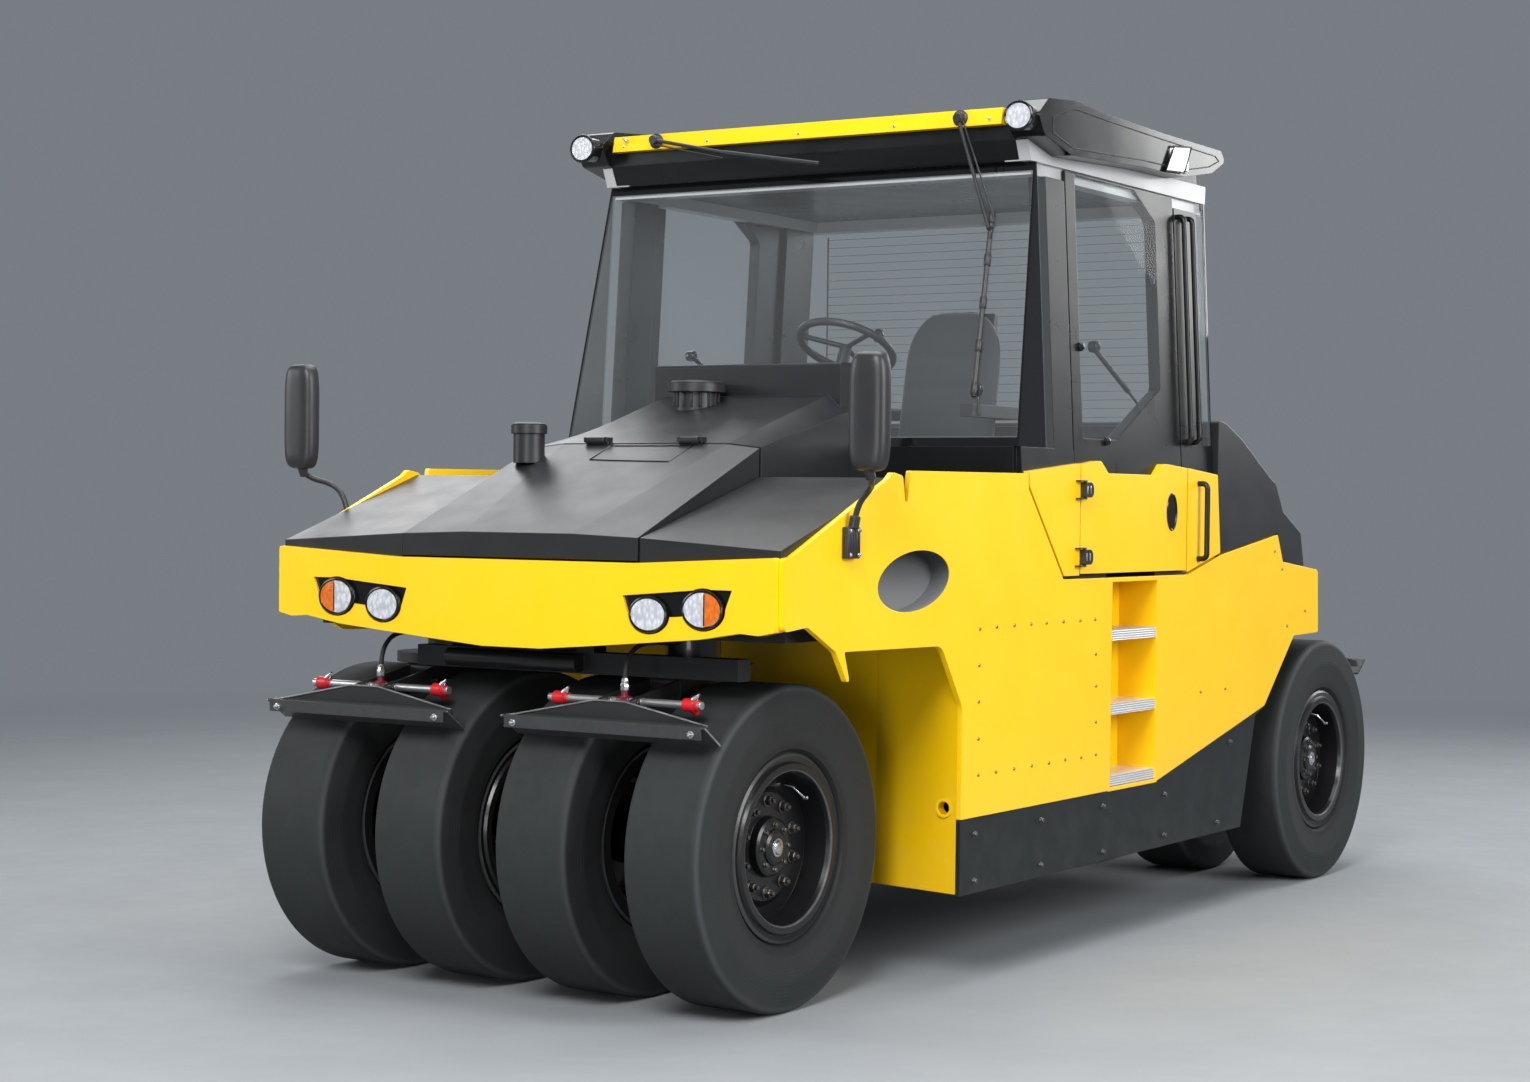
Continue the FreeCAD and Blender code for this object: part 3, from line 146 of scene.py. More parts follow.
class Shader:
    """A Principled material and short names for the nodes that feed it."""

    def __init__(self, name, color, roughness, **sockets):
        self.material = bpy.data.materials.new(name)
        self.material.use_nodes = True
        self.tree = self.material.node_tree
        self.bsdf = self.tree.nodes["Principled BSDF"]
        self.set("Base Color", (*color, 1))
        self.set("Roughness", roughness)
        self.normal = None
        self.place = None
        self.shade = None
        self.gloss = None
        for socket, value in sockets.items():
            self.set(socket.replace("_", " "), value)

    def set(self, socket, value):
        self.bsdf.inputs[socket].default_value = value

    def node(self, kind, **inputs):
        made = self.tree.nodes.new(kind)
        for name, value in inputs.items():
            self.feed(made.inputs[name.replace("_", " ")], value)
        return made

    def feed(self, socket, value):
        if isinstance(value, bpy.types.NodeSocket):
            self.tree.links.new(value, socket)
        else:
            socket.default_value = value

    def point(self):
        if self.place is None:
            self.place = self.node("ShaderNodeTexCoord").outputs["Object"]
        return self.place

    def stretched(self, scale):
        return self.node("ShaderNodeMapping", Vector=self.point(), Scale=scale).outputs["Vector"]

    def noise(self, scale, detail=3.0, rough=0.5, vector=None):
        made = self.node("ShaderNodeTexNoise", Vector=vector or self.point(), Scale=scale, Detail=detail,
                         Roughness=rough)
        return made.outputs["Fac"]

    def math(self, kind, first, second=0.0, clamp=False):
        made = self.tree.nodes.new("ShaderNodeMath")
        made.operation = kind
        made.use_clamp = clamp
        self.feed(made.inputs[0], first)
        self.feed(made.inputs[1], second)
        return made.outputs[0]

    def remap(self, value, low, high, to_low, to_high, smooth=False):
        made = self.tree.nodes.new("ShaderNodeMapRange")
        made.interpolation_type = "SMOOTHSTEP" if smooth else "LINEAR"
        for i, v in enumerate((value, low, high, to_low, to_high)):
            self.feed(made.inputs[i], v)
        return made.outputs["Result"]

    def mix(self, amount, first, second):
        made = self.tree.nodes.new("ShaderNodeMix")
        made.data_type = "RGBA"
        self.feed(made.inputs["Factor"], amount)
        self.feed(made.inputs["A"], first if isinstance(first, bpy.types.NodeSocket) else (*first, 1))
        self.feed(made.inputs["B"], second if isinstance(second, bpy.types.NodeSocket) else (*second, 1))
        return made.outputs["Result"]

    def axis(self, name):
        return self.node("ShaderNodeSeparateXYZ", Vector=self.point()).outputs[name]

    def color(self, socket):
        self.shade = socket
        self.feed(self.bsdf.inputs["Base Color"], socket)
        return self

    def rough(self, socket):
        self.gloss = socket
        self.feed(self.bsdf.inputs["Roughness"], socket)
        return self

    def aside(self):
        """Distance from the machine's middle plane."""
        return self.math("ABSOLUTE", self.axis("X"))

    def between(self, value, rise, full, fall, end, smooth=False):
        """0 up to the rise, 1 from full to the fall, and 0 again from the end."""
        return self.times(self.remap(value, rise, full, 0, 1, smooth),
                          self.remap(value, fall, end, 1, 0, smooth))

    def band(self, value, low, high, soft=0.0006):
        """1 where the value lies between low and high, 0 elsewhere."""
        return self.between(value, low - soft, low + soft, high - soft, high + soft)

    def times(self, *factors):
        whole = factors[0]
        for factor in factors[1:]:
            whole = self.math("MULTIPLY", whole, factor)
        return whole

    def span(self, first, second):
        """Length of the line that has these two legs."""
        return self.math("SQRT", self.math("ADD", self.times(first, first), self.times(second, second)))

    def waves(self, value, rate):
        return self.math("SINE", self.times(value, rate))

    def uneven(self, low, high, scale, detail):
        """Gloss that drifts between two values."""
        return self.rough(self.remap(self.noise(scale, detail), 0.3, 0.7, low, high))

    def patch(self, mask, color, roughness, metallic=0.0):
        """Another finish where the mask is 1."""
        self.color(self.mix(mask, self.shade, color))
        self.rough(self.remap(mask, 0, 1, self.gloss, roughness))
        if metallic:
            self.feed(self.bsdf.inputs["Metallic"], self.times(mask, metallic))
        return self

    def cover(self, amount, other, swapped=False):
        """Mixes the surface with another shader node."""
        mixer = self.tree.nodes.new("ShaderNodeMixShader")
        pair = [self.bsdf.outputs[0], other.outputs[0]]
        if swapped:
            pair.reverse()
        self.feed(mixer.inputs[0], amount)
        self.feed(mixer.inputs[1], pair[0])
        self.feed(mixer.inputs[2], pair[1])
        self.feed(self.tree.nodes["Material Output"].inputs["Surface"], mixer.outputs[0])

    def soften(self, radius):
        """Rounds the look of sharp edges."""
        bevel = self.tree.nodes.new("ShaderNodeBevel")
        bevel.samples = 4
        bevel.inputs["Radius"].default_value = radius
        self.normal = bevel.outputs["Normal"]
        self.feed(self.bsdf.inputs["Normal"], self.normal)
        return self

    def bump(self, height, strength, distance):
        made = self.node("ShaderNodeBump", Height=height, Strength=strength, Distance=distance)
        if self.normal is not None:
            self.feed(made.inputs["Normal"], self.normal)
        self.normal = made.outputs["Normal"]
        self.feed(self.bsdf.inputs["Normal"], self.normal)
        return self


def tones(color, dark, light):
    """A darker and a lighter tone of a colour."""
    return [tuple(min(1, c * share) for c in color) for share in (dark, light)]


def plain(name, color, roughness, **sockets):
    """A nearly even surface with a little change in its shade and gloss."""
    shader = Shader(name, color, roughness, **sockets)
    shader.color(shader.mix(shader.noise(2.2, 4.0), *tones(color, 0.9, 1.08)))
    return shader.uneven(roughness * 0.88, min(1, roughness * 1.12), 9.0, 4.0)


def painted(name, color, roughness, coat=0.6, dust=0.0, shine=0.5):
    """Sprayed paint on sheet metal: soft edges, fine orange peel, faint dust near the ground."""
    shader = Shader(name, color, roughness, Coat_Weight=coat, Coat_Roughness=0.06, Specular_IOR_Level=shine)
    even = shader.mix(shader.noise(1.4, 5.0), *tones(color, 0.93, 1.05))
    if dust:
        low = shader.remap(shader.axis("Z"), 0.25, 0.95, dust, 0.0, smooth=True)
        speckle = shader.times(low, shader.remap(shader.noise(14, 6), 0.4, 0.7, 0.2, 1))
        even = shader.mix(speckle, even, (0.32, 0.29, 0.24))
    shader.color(even)
    shader.uneven(roughness * 0.85, roughness * 1.2, 6.0, 5.0)
    shader.soften(0.004)
    return shader.bump(shader.noise(420.0, 2.0), 0.05, 0.001)


def moulded(name, color, roughness, grain=900.0, depth=0.25):
    """Grained plastic."""
    shader = Shader(name, color, roughness, Specular_IOR_Level=0.45)
    shader.color(shader.mix(shader.noise(3.0, 4.0), *tones(color, 0.88, 1.12)))
    shader.uneven(roughness * 0.9, min(1, roughness * 1.12), 8.0, 4.0)
    shader.soften(0.004)
    return shader.bump(shader.noise(grain, 3.0), depth, 0.0006)


def wheel_radius(shader, axle_y):
    """Distance from the wheel's axle."""
    return shader.span(shader.math("SUBTRACT", shader.axis("Y"), axle_y),
                       shader.math("SUBTRACT", shader.axis("Z"), AXLE_Z))


def tyre_rubber(name, axle_y):
    """Smooth compactor tyre: lighter tread, a painted highlight round its shoulders, faint mould rings and
    a darker bead.
    """
    shader = Shader(name, (0.02, 0.021, 0.022), 0.72, Specular_IOR_Level=0.3)
    radius = wheel_radius(shader, axle_y)
    cloud = shader.noise(5.0, 6.0, 0.6)
    wall = shader.mix(cloud, (0.012, 0.014, 0.015), (0.026, 0.029, 0.030))
    tread = shader.mix(shader.noise(18.0, 6.0, 0.7), (0.014, 0.016, 0.017), (0.029, 0.032, 0.033))
    face = shader.remap(radius, TYRE_R - 0.022, TYRE_R - 0.006, 0, 1, smooth=True)
    # Painted highlight: a lighter grey band on the tyre's shoulders, where light catches the edge.
    edge = shader.between(radius, TYRE_R - 0.03, TYRE_R - 0.012, TYRE_R - 0.012, TYRE_R - 0.002, True)
    bead = shader.remap(radius, *BEAD, 0.75, 0, smooth=True)
    color = shader.mix(shader.times(edge, 0.5), shader.mix(face, wall, tread), (0.060, 0.064, 0.066))
    shader.color(shader.mix(bead, color, (0.012, 0.012, 0.013)))
    shader.rough(shader.remap(cloud, 0.3, 0.7, 0.62, 0.82))
    rings = shader.times(shader.waves(radius, 520.0), shader.between(radius, *RINGED_WALL))
    shader.bump(rings, 0.12, 0.0015)
    return shader.bump(shader.noise(260.0, 5.0), 0.2, 0.0008)


def rim_paint(name, axle_y):
    """Black wheel paint with painted grey highlight lines on the lock ring and on the rim's lip."""
    shader = Shader(name, (0.012, 0.012, 0.013), 0.34, Coat_Weight=0.15, Coat_Roughness=0.12,
                    Specular_IOR_Level=0.35)
    radius = wheel_radius(shader, axle_y)
    lip = shader.remap(radius, *RIM_LIP, 0, 0.6)
    grey = shader.math("MAXIMUM", shader.between(radius, *LOCK_RING), lip)
    black = shader.mix(shader.noise(7, 4), (0.005, 0.005, 0.006), (0.010, 0.010, 0.011))
    # Painted highlight: the lock ring and the lip are lighter grey, as where light catches their edges.
    highlight_grey = shader.mix(shader.noise(30, 6), (0.035, 0.037, 0.040), (0.09, 0.093, 0.096))
    shader.color(shader.mix(grey, black, highlight_grey))
    shader.rough(shader.remap(grey, 0, 1, 0.32, 0.42))
    shader.soften(0.003)
    return shader.bump(shader.noise(300, 3), 0.06, 0.001)


# Printed border of the end panes: heights of sill and roof with the half widths there, the top border,
# and for each pane where along the machine it starts and the top of its lower border
CAB_TAPER = (1.790, 2.880, 1.012, 0.955)
BORDER_TOP = (2.846, 2.849)
END_PANES = [((-0.660, -0.655, 1, 0), (1.884, 1.887)), ((0.757, 0.762, 0, 1), (1.934, 1.937))]


def cab_edge(shader):
    """The black printed border of the front and rear panes."""
    height = shader.axis("Z")
    depth = shader.axis("Y")
    inward = shader.math("SUBTRACT", shader.remap(height, *CAB_TAPER), shader.aside())
    rim = shader.math("MAXIMUM", shader.remap(inward, 0.009, 0.011, 1, 0),
                      shader.remap(height, *BORDER_TOP, 0, 1))
    borders = [shader.times(shader.remap(depth, *where),
                            shader.math("MAXIMUM", rim, shader.remap(height, *sill, 1, 0)))
               for where, sill in END_PANES]
    return shader.math("MAXIMUM", *borders)


def glass(name, tint, reflection_veil, share=0.07, bordered=False):
    """Thin tinted pane: light goes straight through, and the rest is a clear gloss over a faint diffuse
    veil whose colour is a painted reflection.
    """
    # The veil's colour gives the pane a painted reflection: a lit milky layer over what lies behind.
    shader = Shader(name, reflection_veil, 0.02, Specular_IOR_Level=0.5)
    clear = shader.node("ShaderNodeBsdfTransparent", Color=(*tint, 1))
    fresnel = shader.node("ShaderNodeFresnel", IOR=1.45)
    outside = shader.math("SUBTRACT", 1.0, shader.node("ShaderNodeNewGeometry").outputs["Backfacing"])
    amount = shader.times(shader.math("MAXIMUM", fresnel.outputs[0], share), outside)
    if bordered:
        border = cab_edge(shader)
        amount = shader.math("MAXIMUM", amount, border)
        shader.color(shader.mix(border, reflection_veil, (0.006, 0.006, 0.007)))
    shader.cover(amount, clear, True)
    return shader.uneven(0.015, 0.04, 3, 3)


THREADS = 1900.0


def woven(name, color):
    """Cushion cloth: a fine weave with soft sheen."""
    shader = Shader(name, color, 0.85, Sheen_Weight=0.35, Sheen_Roughness=0.5)
    cloud = shader.noise(5.0, 4.0)
    weave = shader.times(*(shader.waves(shader.axis(axis), THREADS) for axis in ("X", "Z")))
    base = shader.mix(cloud, *tones(color, 0.8, 1.2))
    shader.color(shader.mix(shader.remap(weave, -1, 1, 0, 0.5), base, tuple(c * 1.7 for c in color)))
    shader.rough(shader.remap(cloud, 0.3, 0.7, 0.78, 0.92))
    return shader.bump(weave, 0.35, 0.0006)


RIB_STEP = 0.0085


def ribbed_aluminium(name):
    """Step treads with ribs that run along the machine, a painted highlight on each rib and painted shade
    between them.
    """
    shader = Shader(name, (0.55, 0.56, 0.57), 0.36, Metallic=0.55)
    ribs = shader.waves(shader.axis("Z"), 2 * math.pi / RIB_STEP)
    # Painted light: the colour follows the ribs, bright on their crests and dark in the grooves.
    shader.color(shader.mix(shader.remap(ribs, -1, 1, 0, 1), (0.42, 0.43, 0.44), (0.86, 0.87, 0.88)))
    shader.uneven(0.28, 0.46, 40, 4)
    return shader.bump(ribs, 0.5, 0.0012)


def metal(name, color, roughness):
    shader = Shader(name, color, roughness, Metallic=1.0)
    shader.color(shader.mix(shader.noise(22, 5), *tones(color, 0.8, 1.1)))
    shader.uneven(roughness * 0.8, roughness * 1.25, 30, 5)
    return shader.soften(0.0015)


# Depths where the front and rear lamps end, the room of the roof lamps' cases, and the rear lamps'
# orange part as distances from the middle
FRONT_END = (-2.31, -2.30)
REAR_START = (1.80, 1.81)
ROOF_CASE = (-0.829, -0.5)
CASE_HEIGHT = (2.5, 2.6)
REAR_ORANGE = (0.885, 1.0)
SIDE_LAMP_END = 0.9


def lamp_glass(name):
    """Faceted reflectors seen through clear lenses, with a painted glint in each facet, orange and red
    where the lamp is.
    """
    shader = Shader(name, (0.8, 0.8, 0.8), 0.12, Coat_Weight=0.8, Coat_Roughness=0.02)
    cells = shader.node("ShaderNodeTexVoronoi", Vector=shader.stretched((1.0, 0.3, 0.55)), Scale=85.0)
    # Painted glint: each facet is lightest at its middle, standing in for the reflector's reflection.
    shine = shader.remap(cells.outputs["Distance"], 0.0, 0.7, 1.0, 0.35)
    shader.color(shader.mix(shine, (0.34, 0.37, 0.41), (0.95, 0.96, 0.97)))
    shader.rough(shader.remap(shine, 0, 1, 0.22, 0.10))
    aside = shader.aside()
    depth = shader.axis("Y")
    front = shader.remap(depth, *FRONT_END, 1, 0)
    rear = shader.remap(depth, *REAR_START, 0, 1)
    orange = shader.mix(shine, (0.62, 0.085, 0.002), (1.0, 0.25, 0.012))
    red = shader.mix(shine, (0.22, 0.002, 0.002), (0.62, 0.010, 0.008))
    side_lamp = shader.times(front, shader.band(aside, SIDE_LAMP_SPLIT, SIDE_LAMP_END))
    outer_rear = shader.times(rear, shader.band(aside, *REAR_ORANGE))
    for mask, tint in ((side_lamp, orange), (rear, red), (outer_rear, orange)):
        shader.color(shader.mix(mask, shader.shade, tint))
    case = shader.times(shader.band(depth, *ROOF_CASE), shader.remap(shader.axis("Z"), *CASE_HEIGHT, 0, 1))
    shader.patch(case, (0.006, 0.006, 0.007), 0.25)
    return shader.bump(cells.outputs["Distance"], 0.5, 0.003)


# Distance from the middle of the machine where the scrapers' blades start, and their heights
BLADE_REACH = (2.338, 2.342)
BLADE_HEIGHT = (0.884, 0.956)
PIPE_EDGE = (0.0134, 0.0140)


def fork_paint(name):
    """Black paint, with the scraper's bare pipe and its grey blade."""
    shader = painted(name, (0.014, 0.014, 0.015), 0.38, 0.35, 0.12)
    reach = shader.math("ABSOLUTE", shader.axis("Y"))
    height = shader.axis("Z")
    off_pipe = shader.span(shader.math("SUBTRACT", reach, abs(AXLE_Y["front"]) + PIPE_REACH),
                           shader.math("SUBTRACT", height, PIPE_Z))
    pipe = shader.remap(off_pipe, *PIPE_EDGE, 1, 0)
    blade = shader.times(shader.remap(reach, *BLADE_REACH, 0, 1), shader.band(height, *BLADE_HEIGHT))
    scuffed = shader.mix(shader.noise(40, 5), (0.016, 0.018, 0.019), (0.036, 0.038, 0.040))
    shader.patch(blade, scuffed, 0.5)
    return shader.patch(pipe, (0.62, 0.62, 0.63), 0.3, 0.85)


# Where the hinge blocks stand out from the sheet, and the room of the oval pocket behind it
HINGE_OUT = (1.0403, 1.0408)
HINGE_DEPTH = (-0.50, -0.385)
POCKET_IN = (1.036, 1.038)
POCKET_DEPTH = (-1.90, -1.34)
POCKET_HEIGHT = (1.25, 1.53)


def side_paint(name):
    """Yellow paint, with the black door hinges, and painted shade inside the oval pocket, darker towards
    its top.
    """
    shader = painted(name, *YELLOW_PAINT)
    aside = shader.aside()
    depth = shader.axis("Y")
    height = shader.axis("Z")
    hinges = shader.times(shader.remap(aside, *HINGE_OUT, 0, 1), shader.band(depth, *HINGE_DEPTH))
    shader.patch(hinges, (0.012, 0.012, 0.013), 0.35)
    pocket = shader.times(shader.remap(aside, *POCKET_IN, 1, 0), shader.band(depth, *POCKET_DEPTH),
                          shader.band(height, *POCKET_HEIGHT))
    # Painted shade in the oval pocket: grey at its bottom, nearly black under its upper rim.
    pocket_shade = shader.mix(shader.remap(height, 1.30, 1.49, 0, 1, smooth=True), (0.20, 0.205, 0.21),
                        (0.035, 0.036, 0.038))
    return shader.patch(pocket, pocket_shade, 0.5)


YELLOW_PAINT = ((0.96, 0.565, 0.0), 0.36, 0.16, 0.08)
YELLOW = painted("yellow_paint", *YELLOW_PAINT)
SIDE_YELLOW = side_paint("side_yellow_paint")
FORK_PAINT = fork_paint("fork_paint")
LAMP_GLASS = lamp_glass("lamp_glass")
NUT_BLACK = painted("fastener_black", (0.028, 0.025, 0.022), 0.32, 0.4)
BLACK = painted("black_paint", (0.010, 0.010, 0.011), 0.38, 0.15, 0.06, 0.3)
SKIRT = painted("skirt_paint", (0.007, 0.010, 0.011), 0.45, 0.0, 0.04, 0.3)
HOOD = moulded("hood_plastic", (0.014, 0.015, 0.017), 0.33, 700, 0.16)
CAB_BLACK = painted("cab_black_paint", (0.006, 0.0065, 0.007), 0.3, 0.08, 0.0, 0.3)
HEADER = painted("header_paint", (0.46, 0.46, 0.47), 0.4, 0.3)
PLASTIC = moulded("black_plastic", (0.018, 0.018, 0.020), 0.4, 1100, 0.2)
GLOSS_PLASTIC = painted("gloss_black", (0.005, 0.0055, 0.006), 0.14, 0.12, 0.0, 0.35)
CONSOLE = moulded("console_plastic", (0.020, 0.021, 0.023), 0.55, 900, 0.35)
ALUMINIUM = ribbed_aluminium("tread_aluminium")
RED = moulded("red_plastic", (0.55, 0.012, 0.02), 0.32, 500, 0.1)
HOSE = moulded("hose_rubber", (0.014, 0.014, 0.015), 0.62, 400, 0.2)
IRON = moulded("engine_iron", (0.06, 0.06, 0.065), 0.6, 120, 0.5)
CLOTH = woven("seat_cloth", (0.030, 0.032, 0.035))
# The veil colours given to the pane and the lens are painted reflections.
PANE = glass("cab_pane", (0.96, 0.975, 0.975), (0.50, 0.525, 0.55), 0.08, True)
LENS = glass("lamp_lens", (0.96, 0.96, 0.97), (0.10, 0.10, 0.11), 0.04)
STEEL = metal("bright_steel", (0.62, 0.62, 0.63), 0.28)
DULL_STEEL = metal("dull_steel", (0.50, 0.50, 0.51), 0.42)
LAMP_WHITE = plain("lamp_white", (0.78, 0.79, 0.80), 0.2, Coat_Weight=0.6)
SCREW = metal("dull_screws", (0.36, 0.30, 0.14), 0.45)
DARK_RED = moulded("dark_red_plastic", (0.12, 0.008, 0.018), 0.35, 500, 0.1)
HEATER = plain("heating_wire", (0.20, 0.13, 0.08), 0.5)
MIRROR_GLASS = metal("mirror_silver", (0.88, 0.90, 0.92), 0.03)

LOOKS = {
    YELLOW: ["arch_wall", "front_bumper", "roof_strip", "rear_panel"],
    SIDE_YELLOW: ["left_side_panel", "right_side_panel", "cab_side_panels", "left_door_panel",
                  "right_door_panel"],
    FORK_PAINT: ["front_left_fork", "front_right_fork", "rear_scrapers"],
    BLACK: ["front_left_axle", "front_right_axle", "rear_left_axle", "rear_right_axle", "main_frame",
            "side_tanks", "rear_body", "steering_beam"],
    CAB_BLACK: ["cab_frame", "left_door_frame", "right_door_frame", "roof", "grab_rails"],
    SKIRT: ["side_skirts"],
    HOOD: ["hood_wings", "hood_lid", "rear_cowl", "rear_hood"],
    PLASTIC: ["cowl_cap", "air_cleaner_cap", "wipers", "mirrors", "driver_chair", "steering_wheel"],
    GLOSS_PLASTIC: ["roof_visors", "headlamp_housings"],
    HEADER: ["roof_frame"],
    CONSOLE: ["console"],
    ALUMINIUM: ["step_treads"],
    RED: ["front_left_nozzles", "front_right_nozzles"],
    HOSE: ["front_left_hose", "front_right_hose"],
    IRON: ["engine_block"],
    CLOTH: ["chair_cushions"],
    PANE: ["cab_glass", "left_door_glass", "right_door_glass"],
    LAMP_GLASS: ["lamps"],
}


def dress(node, shader):
    """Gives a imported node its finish."""
    materials = NODES[node].data.materials
    if not materials:
        materials.append(shader.material)
    for i in range(len(materials)):
        materials[i] = shader.material


def dress_frame():
    for shader, names in LOOKS.items():
        for name in names:
            dress(name, shader)
    for row, y in AXLE_Y.items():
        rubber = tyre_rubber(row + "_tyre_rubber", y)
        rims = rim_paint(row + "_rim_paint", y)
        for side, hand in SIDES:
            dress(f"{row}_{side}_tyres", rubber)
            dress(f"{row}_{side}_rims", rims)


def square_to(axis):
    """Two directions across an axis, and the axis itself, each of length 1."""
    along = Vector(axis).normalized()
    guide = Vector((0, 0, 1)) if abs(along.z) < 0.9 else Vector((0, 1, 0))
    across = guide.cross(along).normalized()
    return across, along.cross(across), along


def turns(count):
    """A full turn in equal steps, in radians."""
    return [2 * math.pi * i / count for i in range(count)]


def circle(middle, radius, across, up, sides):
    """Points round a circle in the plane of two directions."""
    return [middle + radius * (math.cos(a) * across + math.sin(a) * up) for a in turns(sides)]


class Build:
    """One piece's mesh, put together from closed forms."""

    def __init__(self):
        self.mesh = bmesh.new()

    def loft(self, rings, closed=False):
        """Skin over rings of equally many points, with its ends capped or joined."""
        rows = [[self.mesh.verts.new(point) for point in ring] for ring in rings]
        pairs = list(zip(rows, rows[1:]))
        if closed:
            pairs.append((rows[-1], rows[0]))
        for low, high in pairs:
            for i in range(len(low)):
                j = (i + 1) % len(low)
                self.mesh.faces.new((low[i], low[j], high[j], high[i]))
        if not closed:
            self.mesh.faces.new(list(reversed(rows[0])))
            self.mesh.faces.new(rows[-1])
        return self

    def turned(self, profile, place, axis, sides=20):
        """Form turned about an axis through place, from (distance along it, radius) pairs."""
        across, up, along = square_to(axis)
        return self.loft([circle(Vector(place) + step * along, radius, across, up, sides)
                          for step, radius in profile])

    def tube(self, points, radius, sides=8, closed=False):
        """Round bar along a line of points."""
        points = [Vector(point) for point in points]
        last = len(points) - 1
        across = None
        rings = []
        for i, point in enumerate(points):
            before = points[i - 1] if closed or i else point
            after = points[i + 1] if i < last else points[0] if closed else point
            along = (after - before).normalized()
            if across is None:
                across = square_to(along)[0]
            else:
                across = (across - across.dot(along) * along).normalized()
            rings.append(circle(point, radius, across, along.cross(across), sides))
        return self.loft(rings, closed)

    def block(self, low, high, edge=0.002, turn=None):
        """Box between two corners with rounded edges, turned about its middle."""
        low = Vector(low)
        high = Vector(high)
        place = Matrix.Translation((low + high) / 2) @ (turn or Matrix.Identity(4))
        made = bmesh.ops.create_cube(self.mesh, size=1, matrix=place @ Matrix.Diagonal((*(high - low), 1)))
        edges = {edge_line for vert in made["verts"] for edge_line in vert.link_edges}
        bmesh.ops.bevel(self.mesh, geom=list(edges), offset=edge, segments=2, profile=0.5, affect="EDGES")
        return self

    def plate(self, outline, push, chamfer=0.0015):
        """Flat form from an outline, as thick as the push, its outer edge taken off."""
        points = [Vector(point) for point in outline]
        push = Vector(push)
        middle = sum(points, Vector()) / len(points)
        rim = [point + push + (middle - point).normalized() * chamfer for point in points]
        shoulder = push * max(0, 1 - chamfer / push.length)
        return self.loft([points, [point + shoulder for point in points], rim])

    def piece(self, name, shader, body, slot, sharp=35):
        """Makes the object, smooth but for its sharp edges, and hands it to the frame."""
        bmesh.ops.recalc_face_normals(self.mesh, faces=self.mesh.faces)
        mesh = bpy.data.meshes.new(name)
        self.mesh.to_mesh(mesh)
        self.mesh.free()
        mesh.materials.append(shader.material)
        mesh.shade_smooth()
        mesh.set_sharp_from_angle(angle=math.radians(sharp))
        made = bpy.data.objects.new(name, mesh)
        bpy.context.scene.collection.objects.link(made)
        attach(made, body)
        return made


def oval(x, y, z, half_x, half_z, count=40):
    """Points round an upright oval that faces the front."""
    return [(x + half_x * math.cos(a), y, z + half_z * math.sin(a)) for a in turns(count)]


def side_ring(x, y, z, half_y, half_z, count=40):
    """Points round an upright oval that faces the side."""
    return [(x, y + half_y * math.cos(a), z + half_z * math.sin(a)) for a in turns(count)]


def hex_bolt(build, place, axis, size, shank=True):
    """Washer, six-sided head and the end of the stud, size being the head's half width."""
    forms = [([(-0.001 / size, 1.35), (0.22, 1.35), (0.26, 1.25)], 16),
             ([(0.2, 1), (1.1, 1), (1.3, 0.86)], 6)]
    if shank:
        forms.append(([(1.2, 0.52), (1.85, 0.52), (1.98, 0.42)], 10))
    for profile, sides in forms:
        build.turned([(size * step, size * radius) for step, radius in profile], place, axis, sides)


def screw(build, place, axis, size):
    """Low round head."""
    build.turned([(-0.001, size), (size * 0.3, size), (size * 0.62, size * 0.62)], place, axis, 10)


# Wheels: nuts on the disc, bolts and cap on the hub, and the valve
DISC_OUT = 0.040
HUB_FACE = 0.072
HUB_END = 0.084
NUTS = 10
NUT_RADIUS = 0.150
HUB_BOLTS = 8
HUB_BOLT_RADIUS = 0.073
NUT_SIZE = 0.0165
HUB_BOLT_SIZE = 0.0085
HUB_CAP = [(-0.001, 0.030), (0.003, 0.030), (0.004, 0.024), (0.009, 0.021), (0.0125, 0.012), (0.013, 0.003)]
VALVE_CAP = [(-0.004, 0.006), (0.010, 0.0065), (0.013, 0.004)]
# Valve's stem as (distance from the wheel's middle, radius, degrees)
VALVE_STEM = [(0.030, 0.222, 60), (0.060, 0.220, 57), (0.078, 0.212, 50), (0.084, 0.214, 43)]


def wheel_details():
    for (row, side), pair_x in PAIR_X.items():
        nuts, caps, valves = Build(), Build(), Build()
        for out in (-1, 1):
            outward = (out, 0, 0)

            def on_wheel(along, radius, degrees):
                a = math.radians(degrees)
                return (pair_x + out * PAIR_HALF + out * along, AXLE_Y[row] + radius * math.cos(a),
                        AXLE_Z + radius * math.sin(a))

            for i in range(NUTS):
                hex_bolt(nuts, on_wheel(DISC_OUT, NUT_RADIUS, 360 / NUTS * (i + 0.5)), outward, NUT_SIZE)
            for i in range(HUB_BOLTS):
                hex_bolt(nuts, on_wheel(HUB_FACE, HUB_BOLT_RADIUS, 360 / HUB_BOLTS * i), outward,
                         HUB_BOLT_SIZE, False)
            caps.turned(HUB_CAP, on_wheel(HUB_END, 0, 0), outward, 24)
            stem = [on_wheel(*point) for point in VALVE_STEM]
            valves.tube(stem, 0.0042)
            valves.turned(VALVE_CAP, stem[-1], (out, 0.2, 0.2), 12)
        body = f"{row}_{side}_wheels"
        nuts.piece(body + "_nuts", NUT_BLACK, body, "rim_black")
        caps.piece(body + "_hub_caps", STEEL, body, "rim_black")
        valves.piece(body + "_valves", STEEL, body, "rim_black")


# Lamps, from the windows in the bumper and in the roof's cases
LENS_Y = -2.406
ROOF_LAMP_Y = -0.838
